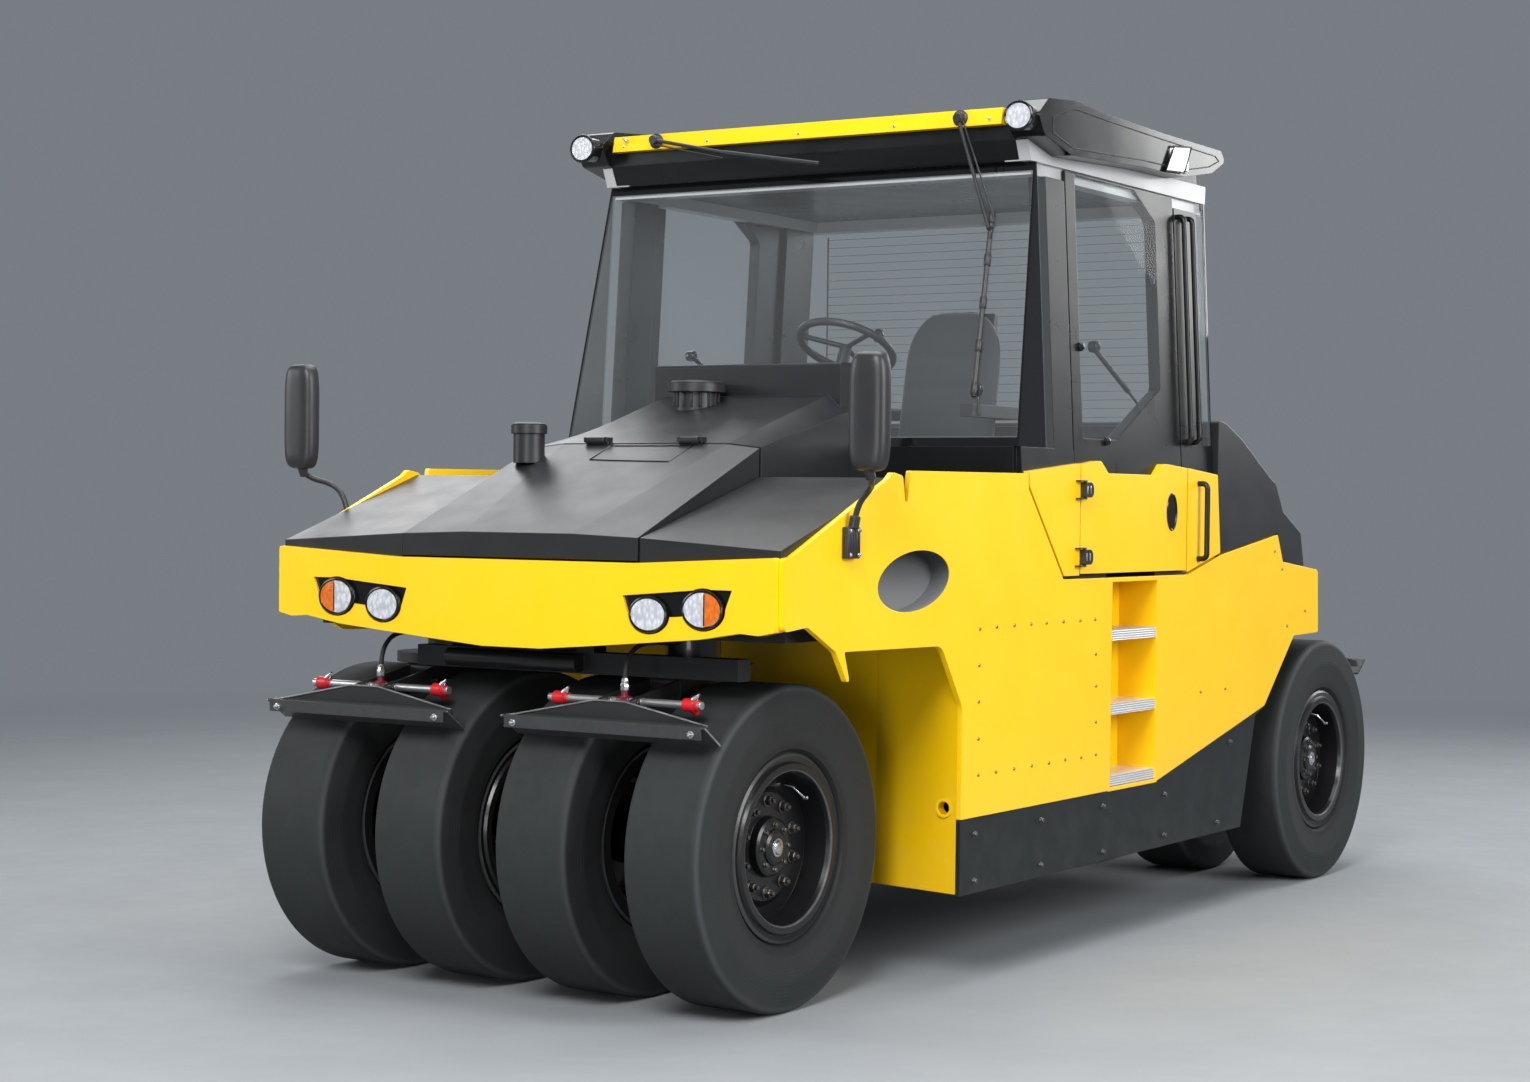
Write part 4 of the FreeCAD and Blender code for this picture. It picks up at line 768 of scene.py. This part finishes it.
# Each lamp: middle, half sizes, how much larger the rim is and how far it stands back, the rim's
# radius, the dome's depth and its share of the window
LAMPS = [((0.548, LENS_Y, 1.291), (0.066, 0.050), 0.003, 0.003, 0.0055, 0.014, 0.96),
         ((0.754, LENS_Y, 1.311), (0.070, 0.054), 0.003, 0.003, 0.0055, 0.014, 0.96),
         ((0.973, ROOF_LAMP_Y, 3.020), (0.052, 0.047), 0.002, 0.004, 0.0065, 0.010, 0.95)]
DOME_RINGS = (1, 0.9, 0.72, 0.5, 0.25, 0.04)
DOME_LIFT = 0.0002
# Line between the white and the orange lamp: half its width and its ends
SPLIT_HALF = 0.0022
SPLIT_Z = (1.262, 1.360)


def lamp_details():
    rims, domes = Build(), Build()
    for hand in (1, -1):
        for (x, y, z), (half_x, half_z), larger, back, radius, depth, share in LAMPS:
            rims.tube(oval(hand * x, y + back, z, half_x + larger, half_z + larger), radius, 8, True)
            domes.loft([oval(hand * x, y - DOME_LIFT - depth * (1 - ring * ring), z, half_x * ring * share,
                             half_z * ring * share) for ring in DOME_RINGS])
        line = hand * SIDE_LAMP_SPLIT
        rims.block((line - SPLIT_HALF, LENS_Y - 0.0015, SPLIT_Z[0]),
                   (line + SPLIT_HALF, LENS_Y + 0.004, SPLIT_Z[1]), 0.0006)
    rims.piece("lamp_rims", GLOSS_PLASTIC, "chassis", "lamp_housing")
    domes.piece("lamp_domes", LENS, "chassis", "lamp_lens", 80)


# Scrapers, from the part's source: distances before the axle and heights
# Edge of the gusset and the blade's end, where a steel bar is a painted highlight, as (x from the pair's
# middle, reach, height)
EDGE_HIGHLIGHT_LINE = [(0.3995, 0.408, 0.892), (0.3995, 0.490, 0.951), (0.380, 0.4465, 0.953), (0.060, 0.4465, 1.014)]
HOSE_ROUTE = [(0.36719, 1.04173), (0.36719, 1.07973), (0.36139, 1.12133), (0.34339, 1.15253),
              (0.31499, 1.17473), (0.28039, 1.18463), (0.23849, 1.18753), (0.19249, 1.18673),
              (0.14069, 1.18223), (0.09060, 1.17963)]
HOSE_RADIUS = 0.008


def spray_hose(side):
    """The free hose from the spray pipe's inlet back to the fork's collar."""
    name = f"front_{side}_spray_hose"
    x = PAIR_X[("front", side)]
    route = [(x, AXLE_Y["front"] - reach, z) for reach, z in HOSE_ROUTE]
    curve = bpy.data.curves.new(name, "CURVE")
    curve.dimensions = "3D"
    curve.bevel_depth = HOSE_RADIUS
    curve.bevel_resolution = 3
    curve.resolution_u = 8
    curve.use_fill_caps = True
    spline = curve.splines.new("NURBS")
    spline.points.add(len(route) - 1)
    for point, place in zip(spline.points, route):
        point.co = (*place, 1)
    spline.order_u = 3
    spline.use_endpoint_u = True
    curve.materials.append(HOSE.material)
    hose = placed(name, curve)
    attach(hose, f"front_{side}_fork")
    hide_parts(f"front_{side}_hose")


# Turned fittings on the spray pipe, as (distance along the axis, radius)
PIPE_INLET = [(0, 0.0135), (0.004, 0.0145), (0.020, 0.0145), (0.024, 0.0115), (0.040, 0.0105)]
NOZZLE_TIP = [(0.012, 0.0115), (0.026, 0.010), (0.032, 0.006), (0.046, 0.004)]
PIPE_SLEEVE = [(-0.024, 0.0165), (-0.021, 0.0185), (0.021, 0.0185), (0.024, 0.0165)]
SLEEVE_NECK = [(0.010, 0.0125), (0.034, 0.0115)]
BLADE_BOLT = (0.350, 0.4944, 0.9300)


def scraper_details():
    front = AXLE_Y["front"]
    pipe_y = front - PIPE_REACH
    line = EDGE_HIGHLIGHT_LINE + [(-px, reach, z) for px, reach, z in reversed(EDGE_HIGHLIGHT_LINE)]
    for side, hand in SIDES:
        body = f"front_{side}_fork"
        x = PAIR_X[("front", side)]
        edges, fittings, joint = Build(), Build(), Build()
        # The steel bar along the gusset's edge is a painted highlight: the sheet's edge catching light.
        edges.tube([(x + px, front - reach, z) for px, reach, z in line], 0.0034, 6)
        edges.piece(body + "_gusset_edges", DULL_STEEL, body, "frame_black")
        fittings.turned(PIPE_INLET, (x, pipe_y, PIPE_Z + 0.0345), (0, 0, 1), 6)
        bolt_x, reach, bolt_z = BLADE_BOLT
        for out in (-1, 1):
            fittings.turned(NOZZLE_TIP, (x + out * PAIR_HALF + 0.006, pipe_y, PIPE_Z + 0.008),
                            (0.75, -0.2, 0.62), 12)
            hex_bolt(fittings, (x + out * 0.060, pipe_y - 0.019, PIPE_Z), (0, -1, 0), 0.006, False)
            hex_bolt(fittings, (x + out * bolt_x, front - reach, bolt_z), (0, -1, 0), 0.0085)
        fittings.piece(body + "_spray_fittings", STEEL, body, "frame_black")
        joint.turned(PIPE_SLEEVE, (x, pipe_y, PIPE_Z), (1, 0, 0), 18)
        joint.turned(SLEEVE_NECK, (x, pipe_y, PIPE_Z), (0, 0, 1), 14)
        joint.piece(body + "_pipe_joint", DARK_RED, body, "nozzle_red")


# Fasteners on the sides, drawn for the left side as (y, z)
SHEET_X = 1.040
COVER_SCREWS = [(-1.184, 1.221), (-1.066, 1.224), (-0.940, 1.225), (-0.817, 1.226), (-0.702, 1.226),
                (-0.572, 1.226), (-0.440, 1.226), (-0.320, 1.226), (-0.311, 1.097), (-0.307, 0.979),
                (-0.303, 0.845), (-0.300, 0.724), (-0.419, 0.722), (-0.546, 0.724), (-0.671, 0.722),
                (-0.800, 0.722), (-0.930, 0.722), (-1.060, 0.722), (-1.184, 0.722), (-1.186, 0.845),
                (-1.186, 0.972), (-1.186, 1.097)]
PANEL_SCREWS = [(1.355, 1.463), (1.438, 1.386), (1.700, 1.200), (1.500, 1.140), (0.620, 0.905),
                (0.860, 0.905)]
SKIRT_BOLTS = [(-1.20, 0.52), (-0.72, 0.52), (-0.232, 0.523), (-1.20, 0.36), (-0.72, 0.36), (-0.230, 0.352),
               (0.30, 0.52), (0.30, 0.36), (0.92, 0.68), (0.80, 0.36)]


def side_details():
    screws, bolts = Build(), Build()
    for hand in (1, -1):
        for y, z in COVER_SCREWS + PANEL_SCREWS:
            screw(screws, (hand * SHEET_X, y, z), (hand, 0, 0), 0.0068)
        for y, z in SKIRT_BOLTS:
            hex_bolt(bolts, (hand * (SHEET_X - 0.003), y, z), (hand, 0, 0), 0.009, False)
    screws.piece("side_screws", SCREW, "chassis", "body_yellow")
    bolts.piece("skirt_bolts", NUT_BLACK, "chassis", "skirt_grey")


# Doors: the handle in its oval dish, and the slots on the hinge blocks
HANDLE = (0.329, 1.626)
HANDLE_HALF = (0.042, 0.070)
HINGE_Z = (1.704, 1.458)
HINGE_FACE = 1.0655
HINGE_Y = -0.425
# The dish as (distance from the middle, share of the handle's half sizes), and the lock under the paddle
DISH = [(1.0405, 0.98), (1.026, 0.93), (1.016, 0.80), (1.0135, 0.45), (1.0133, 0.03)]
LOCK = [(0, 0.009), (0.012, 0.009), (0.014, 0.007)]
SLOT_HALF = (0.0008, 0.0028, 0.014)


def door_details():
    y, z = HANDLE
    half_y, half_z = HANDLE_HALF
    slot = Vector(SLOT_HALF)
    for side, hand in SIDES:
        black, slots = Build(), Build()
        black.tube(side_ring(hand * DISH[0][0], y, z, half_y, half_z), 0.0045, 8, True)
        black.loft([side_ring(hand * px, y, z, half_y * share, half_z * share) for px, share in DISH])
        black.plate(side_ring(hand * 1.018, y - 0.004, z + 0.012, 0.027, 0.045, 28), (hand * 0.013, 0, 0),
                    0.004)
        black.turned(LOCK, (hand * 1.014, y + 0.006, z - 0.046), (hand, 0, 0), 16)
        black.piece(side + "_door_handle", GLOSS_PLASTIC, side + "_door", "cap_black")
        for hinge_z in HINGE_Z:
            for offset in (-0.016, 0.010):
                middle = Vector((hand * HINGE_FACE, HINGE_Y + offset, hinge_z))
                slots.block(middle - slot, middle + slot, 0.0004)
        slots.piece(side + "_hinge_slots", DULL_STEEL, side + "_door", "cap_black")


# Rear pane's heating wires: where they lie, half their length, the lowest one, their step and number
WIRE_Y = 0.7635
WIRE_HALF = 0.86
WIRE_LOW = 1.98
WIRE_STEP = 0.036
WIRES = 24
WIPER_MOUNT = [(0, 0.030), (0.006, 0.030), (0.010, 0.022), (0.020, 0.020)]
STRIP_NOZZLE = [(0, 0.008), (0.014, 0.008), (0.016, 0.005), (0.026, 0.0045)]


def cab_details():
    """Heating wires in the rear pane, and the wipers' mounts and fittings on the roof strip."""
    wires, strip, fitting = Build(), Build(), Build()
    for i in range(WIRES):
        z = WIRE_LOW + WIRE_STEP * i
        wires.tube([(-WIRE_HALF, WIRE_Y, z), (WIRE_HALF, WIRE_Y, z)], 0.0011, 4)
    for x in (-WIRE_HALF, WIRE_HALF):
        wires.tube([(x, WIRE_Y, 1.97), (x, WIRE_Y, 2.82)], 0.004, 6)
    wires.piece("rear_glass_heater", HEATER, "chassis", "cab_glass")
    for x in (-0.659, 0.700):
        strip.turned(WIPER_MOUNT, (x, -0.770, 3.037), (0, -1, 0), 24)
    strip.piece("wiper_mounts", PLASTIC, "chassis", "cap_black")
    fitting.turned(STRIP_NOZZLE, (-0.80, -0.776, 3.046), (0, -1, 0.2), 12)
    for x in (-0.82, -0.42, 0.0, 0.42, 0.82):
        screw(fitting, (x, -0.7725, 3.026), (0, -1, 0), 0.006)
    fitting.piece("roof_strip_fittings", STEEL, "chassis", "body_yellow")


def screen_y(z):
    """Depth of the windscreen's face at a height."""
    return -0.880 + 0.210 * (z - 1.790) / 1.090


# The blade's ends, the direction into the screen, and the clips and pivots as (distance, radius)
BLADE_TOP = Vector((0.806, screen_y(2.708) - 0.014, 2.708))
BLADE_LOW = Vector((0.812, screen_y(2.030) - 0.014, 2.030))
INWARD = Vector((0, 0.982, -0.189))
CLIP = [(-0.022, 0.011), (-0.018, 0.0128), (0.018, 0.0128), (0.022, 0.011)]
CLIP_SHARES = (0.04, 0.27, 0.5, 0.73, 0.96)
PIVOT = [(-0.010, 0.017), (-0.006, 0.019), (0.006, 0.019), (0.010, 0.017)]


def wiper_details():
    rubber, holders = Build(), Build()
    half = Vector((0.002, 0, 0))
    top = BLADE_TOP + INWARD * 0.004
    low = BLADE_LOW + INWARD * 0.004
    rubber.plate([top - half, top + half, low + half, low - half], INWARD * 0.009, 0.0006)
    length = (BLADE_LOW - BLADE_TOP).length
    along = (BLADE_LOW - BLADE_TOP).normalized()
    for share in CLIP_SHARES:
        holders.turned(CLIP, BLADE_TOP + along * length * share, along, 12)
    holders.tube([(0.726, -0.800, 3.023), (0.836, screen_y(2.640) - 0.030, 2.655),
                  (0.815, screen_y(2.600) - 0.026, 2.600)], 0.0035, 6)
    for pivot in ((0.700, -0.790, 3.035), (-0.659, -0.792, 3.040)):
        holders.turned(PIVOT, pivot, (0, 1, 0), 18)
    holders.tube([(-0.645, -0.798, 3.020), (-0.326, -0.798, 2.950)], 0.0035, 6)
    rubber.piece("wiper_rubber", HOSE, "chassis", "cap_black")
    holders.piece("wiper_holders", PLASTIC, "chassis", "cap_black")


# Hood: the slope of the lid's top, and the flap's outline as (x, y)
HOOD_SLOPE = 0.4548
FLAP = [(-0.132, -1.836), (0.0, -1.843), (0.212, -1.850), (0.222, -1.726), (0.0, -1.726), (-0.130, -1.726)]


# The cowl's cap and its louvres, and the air cleaner's top
CAP = (-0.135, -1.215, 2.0695)
CAP_TOP = [(0, 0.096), (0.005, 0.0965), (0.010, 0.090), (0.012, 0.060), (0.0125, 0.005)]
LOUVRES = 16
LOUVRE_RADIUS = 0.0805
LOUVRE_HALF = 0.004
CLEANER = (-0.400, -1.835, 1.9015)
CLEANER_TOP = [(0, 0.057), (0.004, 0.0575), (0.008, 0.050), (0.010, 0.030), (0.0105, 0.004)]


def hood_z(y):
    """Height of the lid's sloping top."""
    return 1.838 + HOOD_SLOPE * (y + 1.712)


def hood_details():
    cap, flap, ring = Build(), Build(), Build()
    cap.turned(CAP_TOP, CAP, (0, 0, 1), 40)
    for a in turns(LOUVRES):
        x = CAP[0] + LOUVRE_RADIUS * math.cos(a)
        y = CAP[1] + LOUVRE_RADIUS * math.sin(a)
        cap.block((x - LOUVRE_HALF, y - LOUVRE_HALF, 1.985),
                  (x + LOUVRE_HALF, y + LOUVRE_HALF, 2.037), 0.001)
    cap.piece("cowl_cap_louvres", PLASTIC, "chassis", "cap_black")
    flap.tube([(x, y, hood_z(y) + 0.0005) for x, y in FLAP], 0.0026, 6, True)
    flap.piece("hood_flap_lines", GLOSS_PLASTIC, "hood", "cap_black")
    ring.turned(CLEANER_TOP, CLEANER, (0, 0, 1), 32)
    ring.piece("air_cleaner_top", PLASTIC, "hood", "cap_black")


# Mirrors: a crowned housing with the glass on its back, on a bent arm, and the bolts of the foot
MIRROR = (1.182, -2.141, 1.926)
MIRROR_HALF = (0.066, 0.184)
# The housing's depth from its middle and how far its outline stands in
MIRROR_SHELL = [(0.0275, 0.007), (0.0280, 0.003), (0.0260, 0.0008), (0.020, 0.0), (-0.004, 0.0012),
                (-0.016, 0.006), (-0.0235, 0.015), (-0.0270, 0.030), (-0.0280, 0.050), (-0.0280, 0.0645)]
MIRROR_ARM = [(1.052, -2.025, 1.530), (1.074, -2.028, 1.640), (1.125, -2.030, 1.690),
              (1.178, -2.110, 1.712),
              (1.182, -2.141, 1.760)]
# The foot's nearer and further face and its corners, its ribs and bolts, and the clamps on the arm as
# (place, axis, profile)
MIRROR_FOOT = (1.040, 1.064, -2.062, -1.990, 1.470, 1.570)
FOOT_RIBS = 5
FOOT_BOLTS = [(-2.051, 1.482), (-1.999, 1.482), (-2.051, 1.558), (-1.999, 1.558)]
CLAMPS = [((1.180, -2.128, 1.738), (0, -0.5, 1),
           [(-0.022, 0.0125), (-0.020, 0.0165), (0.020, 0.0165), (0.022, 0.0125)]),
          ((1.063, -2.0265, 1.585), (0.2, 0, 1),
           [(-0.020, 0.0125), (-0.018, 0.017), (0.018, 0.017), (0.020, 0.0125)])]


def squared(a, power):
    """Cosine and sine of an angle, pushed out from a circle to a rounded square."""
    return [math.copysign(abs(part) ** power, part) for part in (math.cos(a), math.sin(a))]


def rounded(x, y, z, half_x, half_z):
    """Points round an upright rounded oblong that faces the front."""
    corners = [squared(a, 0.42) for a in turns(56)]
    return [(x + half_x * across, y, z + half_z * up) for across, up in corners]


def eased(points, rounds=2):
    """The line with its corners cut, its ends kept."""
    points = [Vector(point) for point in points]
    for _ in range(rounds):
        line = [points[0]]
        for first, second in zip(points, points[1:]):
            line += [first.lerp(second, 0.25), first.lerp(second, 0.75)]
        points = line + [points[-1]]
    return points


def mirror_details():
    bolts, silver = Build(), Build()
    x, y, z = MIRROR
    half_x, half_z = MIRROR_HALF
    inner, outer, front, rear, low, top = MIRROR_FOOT
    for side, hand in SIDES:
        body = Build()
        body.loft([rounded(hand * x, y + depth, z, half_x - inset, half_z - inset)
                   for depth, inset in MIRROR_SHELL])
        body.tube([(hand * px, py, pz) for px, py, pz in eased(MIRROR_ARM)], 0.0098, 12)
        body.block((min(hand * inner, hand * outer), front, low),
                   (max(hand * inner, hand * outer), rear, top), 0.004)
        for (px, py, pz), (ax, ay, az), profile in CLAMPS:
            body.turned(profile, (hand * px, py, pz), (hand * ax, ay, az), 14)
        for i in range(FOOT_RIBS):
            rib_y = -2.056 + 0.0147 * i
            body.block((hand * outer - 0.002, rib_y - 0.002, 1.476),
                       (hand * outer + 0.002, rib_y + 0.002, 1.564), 0.0008)
        for bolt_y, bolt_z in FOOT_BOLTS:
            hex_bolt(bolts, (hand * outer, bolt_y, bolt_z), (hand, 0, 0), 0.0052, False)
        housing = body.piece(side + "_mirror", PLASTIC, "chassis", "cap_black")
        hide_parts("mirrors")
        silver.plate(rounded(hand * x, y + 0.0274, z, half_x - 0.010, half_z - 0.010), (0, 0.0014, 0),
                     0.0008)
    silver.piece("mirror_glass", MIRROR_GLASS, "chassis", "cap_black")
    bolts.piece("mirror_bolts", STEEL, "chassis", "cap_black")


# Roof visors: a line inside the edge, and the frame of the work lamp, as (y, z)
VISOR_LINE = [(-0.690, 3.030), (-0.520, 3.082), (-0.240, 3.074), (0.230, 3.066), (0.700, 3.062),
              (0.735, 3.045), (0.640, 3.012), (0.410, 2.972), (0.058, 2.966), (-0.320, 2.948),
              (-0.540, 2.940), (-0.690, 2.975)]
WORK_LAMP = [(0.221, 2.948), (0.388, 2.958), (0.448, 3.065), (0.291, 3.049)]
VISOR_X = 1.035


def visor_details():
    lines, frames, lenses = Build(), Build(), Build()
    for hand in (1, -1):
        lines.tube([(hand * VISOR_X, y, z) for y, z in VISOR_LINE], 0.0028, 6, True)
        frames.tube([(hand * (VISOR_X + 0.0105), y, z) for y, z in WORK_LAMP], 0.0048, 8, True)
        lenses.plate([(hand * (VISOR_X + 0.0075), y, z) for y, z in WORK_LAMP], (hand * 0.003, 0, 0), 0.001)
    lenses.piece("work_lamp_lenses", LAMP_WHITE, "chassis", "lamp_lens")
    lines.piece("visor_lines", PLASTIC, "chassis", "cap_black")
    frames.piece("work_lamp_frames", GLOSS_PLASTIC, "chassis", "lamp_housing")


# Cab inside: levers, the wheel's knob, switches and the door's gas struts, with the knobs as (y, z, x)
DOOR_KNOBS = [(-0.370, 2.232, 0.988), (-0.180, 1.888, 1.006)]
DOOR_KNOB = [(-0.004, 0.015), (0.006, 0.017), (0.013, 0.013), (0.015, 0.005)]
LEVERS = [(0.175, -0.560, 2.010), (-0.060, -0.585, 2.050), (0.372, -0.030, 2.095)]
LEVER_KNOB = [(-0.024, 0.009), (-0.012, 0.018), (0.004, 0.0215), (0.018, 0.018), (0.025, 0.007)]
WHEEL_KNOB = [(0, 0.010), (0.016, 0.017), (0.034, 0.020), (0.046, 0.015), (0.050, 0.005)]
DISPLAY_TILT = -37
STRUT_X = 0.930
STRUT_BALL = [(-0.012, 0.013), (-0.006, 0.021), (0.012, 0.023), (0.026, 0.020), (0.034, 0.008)]
# The strut's top, the end of its thick part, and its foot, as (y, z)
STRUT = [(-0.152, 2.246), (0.150, 2.092), (0.478, 1.918)]


def inside_details():
    knobs, panel = Build(), Build()
    for x, y, z in LEVERS:
        knobs.tube([(x, y, z - 0.10), (x, y - 0.008, z - 0.02)], 0.006, 8)
        knobs.turned(LEVER_KNOB, (x, y - 0.01, z), (0, -0.1, 1), 18)
    knobs.turned(WHEEL_KNOB, (0.185, -0.500, 2.262), (0, 0.47, 0.883), 18)
    knobs.piece("lever_knobs", GLOSS_PLASTIC, "chassis", "cap_black")
    tilt = Matrix.Rotation(math.radians(DISPLAY_TILT), 4, "X")
    panel.block((-0.06, -0.735, 2.085), (0.16, -0.625, 2.103), 0.004, tilt)
    panel.piece("console_display", GLOSS_PLASTIC, "chassis", "cap_black")
    for side, hand in SIDES:
        strut = Build()
        top, middle, foot = [(hand * STRUT_X, y, z) for y, z in STRUT]
        strut.tube([top, middle], 0.0105, 12)
        strut.tube([middle, foot], 0.0050, 10)
        strut.turned(STRUT_BALL, (hand * (STRUT_X - 0.005), top[1], top[2]), (hand, 0, 0), 20)
        for y, z, x in DOOR_KNOBS:
            strut.turned(DOOR_KNOB, (hand * x, y, z), (hand, 0, 0), 18)
        strut.piece(side + "_door_strut", GLOSS_PLASTIC, side + "_door", "cap_black")


# The plate and a lamp as (x, y, half width, low, top), and the slats
REAR_PLATE = (0, 1.8462, 0.26, 1.220, 1.335)
REAR_LAMP = (0.850, 1.871, 0.092, 1.238, 1.332)
SLATS = 9
SLAT_HALF = 0.55


def upright(x, y, half, low, top):
    """Corners of an upright rectangle that faces the rear."""
    return [(x - half, y, low), (x + half, y, low), (x + half, y, top), (x - half, y, top)]


def rear_details():
    plate, rims = Build(), Build()
    plate.plate(upright(*REAR_PLATE), (0, 0.004, 0), 0.002)
    plate.piece("rear_blank_plate", HEADER, "chassis", "body_yellow")
    for hand in (1, -1):
        rims.tube(upright(hand * REAR_LAMP[0], *REAR_LAMP[1:]), 0.004, 8, True)
    for i in range(SLATS):
        y = 0.880 + 0.040 * i
        z = 1.990 - 0.380 * (y - 0.843)
        rims.block((-SLAT_HALF, y - 0.004, z), (SLAT_HALF, y + 0.010, z + 0.010), 0.002)
    rims.piece("rear_trim", PLASTIC, "chassis", "cap_black")


# Chair: two padded cushions, blown up as cloth between their piping and sewn channels
CHAIR_X = 0.050
CLOTH_VOXEL = 0.006
CLOTH_PRESSURE = 4.0
CLOTH_FRAMES = 20
CLOTH_REACH = 0.009
CUSHION_GRID = 28
# Cushion's seam: its number of points, roundness and share of the half sizes; and the rim that is held
SEAM_POINTS = 48
SEAM_POWER = 0.35
SEAM_SHARE = 0.995
HELD_RIM = 0.90
CHANNEL_HALF = 0.035


def baked(piece):
    """The piece's mesh with its modifiers applied."""
    return bpy.data.meshes.new_from_object(piece.evaluated_get(bpy.context.evaluated_depsgraph_get()))


def puff(piece, held):
    """Swells a closed piece as cloth under pressure, held where the test says, by the reach at most."""
    scene = bpy.context.scene
    remesh = piece.modifiers.new("remesh", "REMESH")
    remesh.mode = "VOXEL"
    remesh.voxel_size = CLOTH_VOXEL
    fine = baked(piece)
    piece.modifiers.clear()
    piece.data = fine
    starts = [vertex.co.copy() for vertex in fine.vertices]
    group = piece.vertex_groups.new(name="held")
    group.add([i for i, start in enumerate(starts) if held(start)], 1.0, "REPLACE")
    cloth = piece.modifiers.new("cloth", "CLOTH")
    cloth.settings.vertex_group_mass = group.name
    cloth.settings.use_pressure = True
    cloth.settings.uniform_pressure_force = CLOTH_PRESSURE
    cloth.settings.effector_weights.gravity = 0
    cloth.point_cache.frame_start = 1
    cloth.point_cache.frame_end = CLOTH_FRAMES
    for moment in range(1, CLOTH_FRAMES + 1):
        scene.frame_set(moment)
    swollen = baked(piece)
    scene.frame_set(1)
    piece.modifiers.clear()
    piece.vertex_groups.clear()
    for vertex, start in zip(swollen.vertices, starts):
        step = vertex.co - start
        if step.length > CLOTH_REACH:
            vertex.co = start + step * (CLOTH_REACH / step.length)
    piece.data = swollen
    piece.modifiers.new("finer", "SUBSURF").levels = 1
    smooth = baked(piece)
    piece.modifiers.clear()
    piece.data = smooth
    smooth.shade_smooth()


def spread(i):
    """Place of a grid line between -1 and 1, closer together near the ends."""
    return math.sin((i / CUSHION_GRID - 0.5) * math.pi)


def cushion(name, middle, across, along, up, half, channels, crown=0.0):
    """Crowned closed cushion over half sizes (across, along, up), with a seam and sewn channels."""
    middle, across, along, up = Vector(middle), Vector(across), Vector(along), Vector(up)
    along.normalize()
    up.normalize()
    build, seam = Build(), Build()

    def point(u, v, side):
        far = max(0.0, v)
        pull_u = (1 - 0.035 * (1 - v * v)) * (1 - crown * far ** 3)
        pull_v = (1 - 0.030 * (1 - u * u)) * (1 - 0.4 * crown * far * u ** 4)
        rim = max(0.0, 1 - abs(u) ** 5) ** 0.42 * max(0.0, 1 - abs(v) ** 5) ** 0.42
        if side > 0:
            height = half[2] * (0.62 + 0.38 * (1 - 0.55 * u * u) * (1 - 0.4 * v * v))
            dip = sum(0.10 * math.exp(-((v - channel) / 0.030) ** 2) for channel in channels)
        else:
            height = half[2] * 0.97
            dip = 0
        return (middle + across * (half[0] * u * pull_u) + along * (half[1] * v * pull_v)
                + up * (side * height * rim * (1 - dip)))

    grids = []
    for side in (1, -1):
        grid = []
        for j in range(CUSHION_GRID + 1):
            line = []
            for i in range(CUSHION_GRID + 1):
                if side < 0 and (i in (0, CUSHION_GRID) or j in (0, CUSHION_GRID)):
                    line.append(grids[0][j][i])
                else:
                    line.append(build.mesh.verts.new(point(spread(i), spread(j), side)))
            grid.append(line)
        grids.append(grid)
        for j in range(CUSHION_GRID):
            for i in range(CUSHION_GRID):
                corners = [grid[j][i], grid[j][i + 1], grid[j + 1][i + 1], grid[j + 1][i]]
                build.mesh.faces.new(corners if side > 0 else corners[::-1])
    made = build.piece(name, CLOTH, "chassis", "cushion_fabric", 80)

    def held(place):
        offset = place - middle
        v = offset.dot(along) / half[1]
        sewn = any(abs(v - channel) < CHANNEL_HALF for channel in channels)
        rim = max(abs(offset.dot(across) / half[0]), abs(v)) > HELD_RIM
        return rim or sewn or offset.dot(up) < 0

    puff(made, held)
    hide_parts("chair_cushions")
    outline = []
    for a in turns(SEAM_POINTS):
        u, v = squared(a, SEAM_POWER)
        outline.append(point(u * SEAM_SHARE, v * SEAM_SHARE, 0))
    seam.tube(outline, 0.005, 6, True)
    seam.piece(name + "_piping", PLASTIC, "chassis", "cushion_fabric")


def chair_details():
    cushion("seat_cushion", (CHAIR_X, -0.010, 1.850), (1, 0, 0), (0, 1, 0), (0, 0, 1),
            (0.238, 0.198, 0.058), (-0.45, 0.45))
    cushion("back_cushion", (CHAIR_X, 0.296, 2.145), (1, 0, 0), (0, 0.17, 0.985), (0, -0.985, 0.17),
            (0.228, 0.300, 0.046), (-0.5, -0.1, 0.3), 0.34)


make_camera()
for side in ("left", "right"):
    spray_hose(side)
make_studio()
dress_frame()
wheel_details()
lamp_details()
scraper_details()
side_details()
door_details()
cab_details()
wiper_details()
hood_details()
mirror_details()
visor_details()
inside_details()
rear_details()
chair_details()
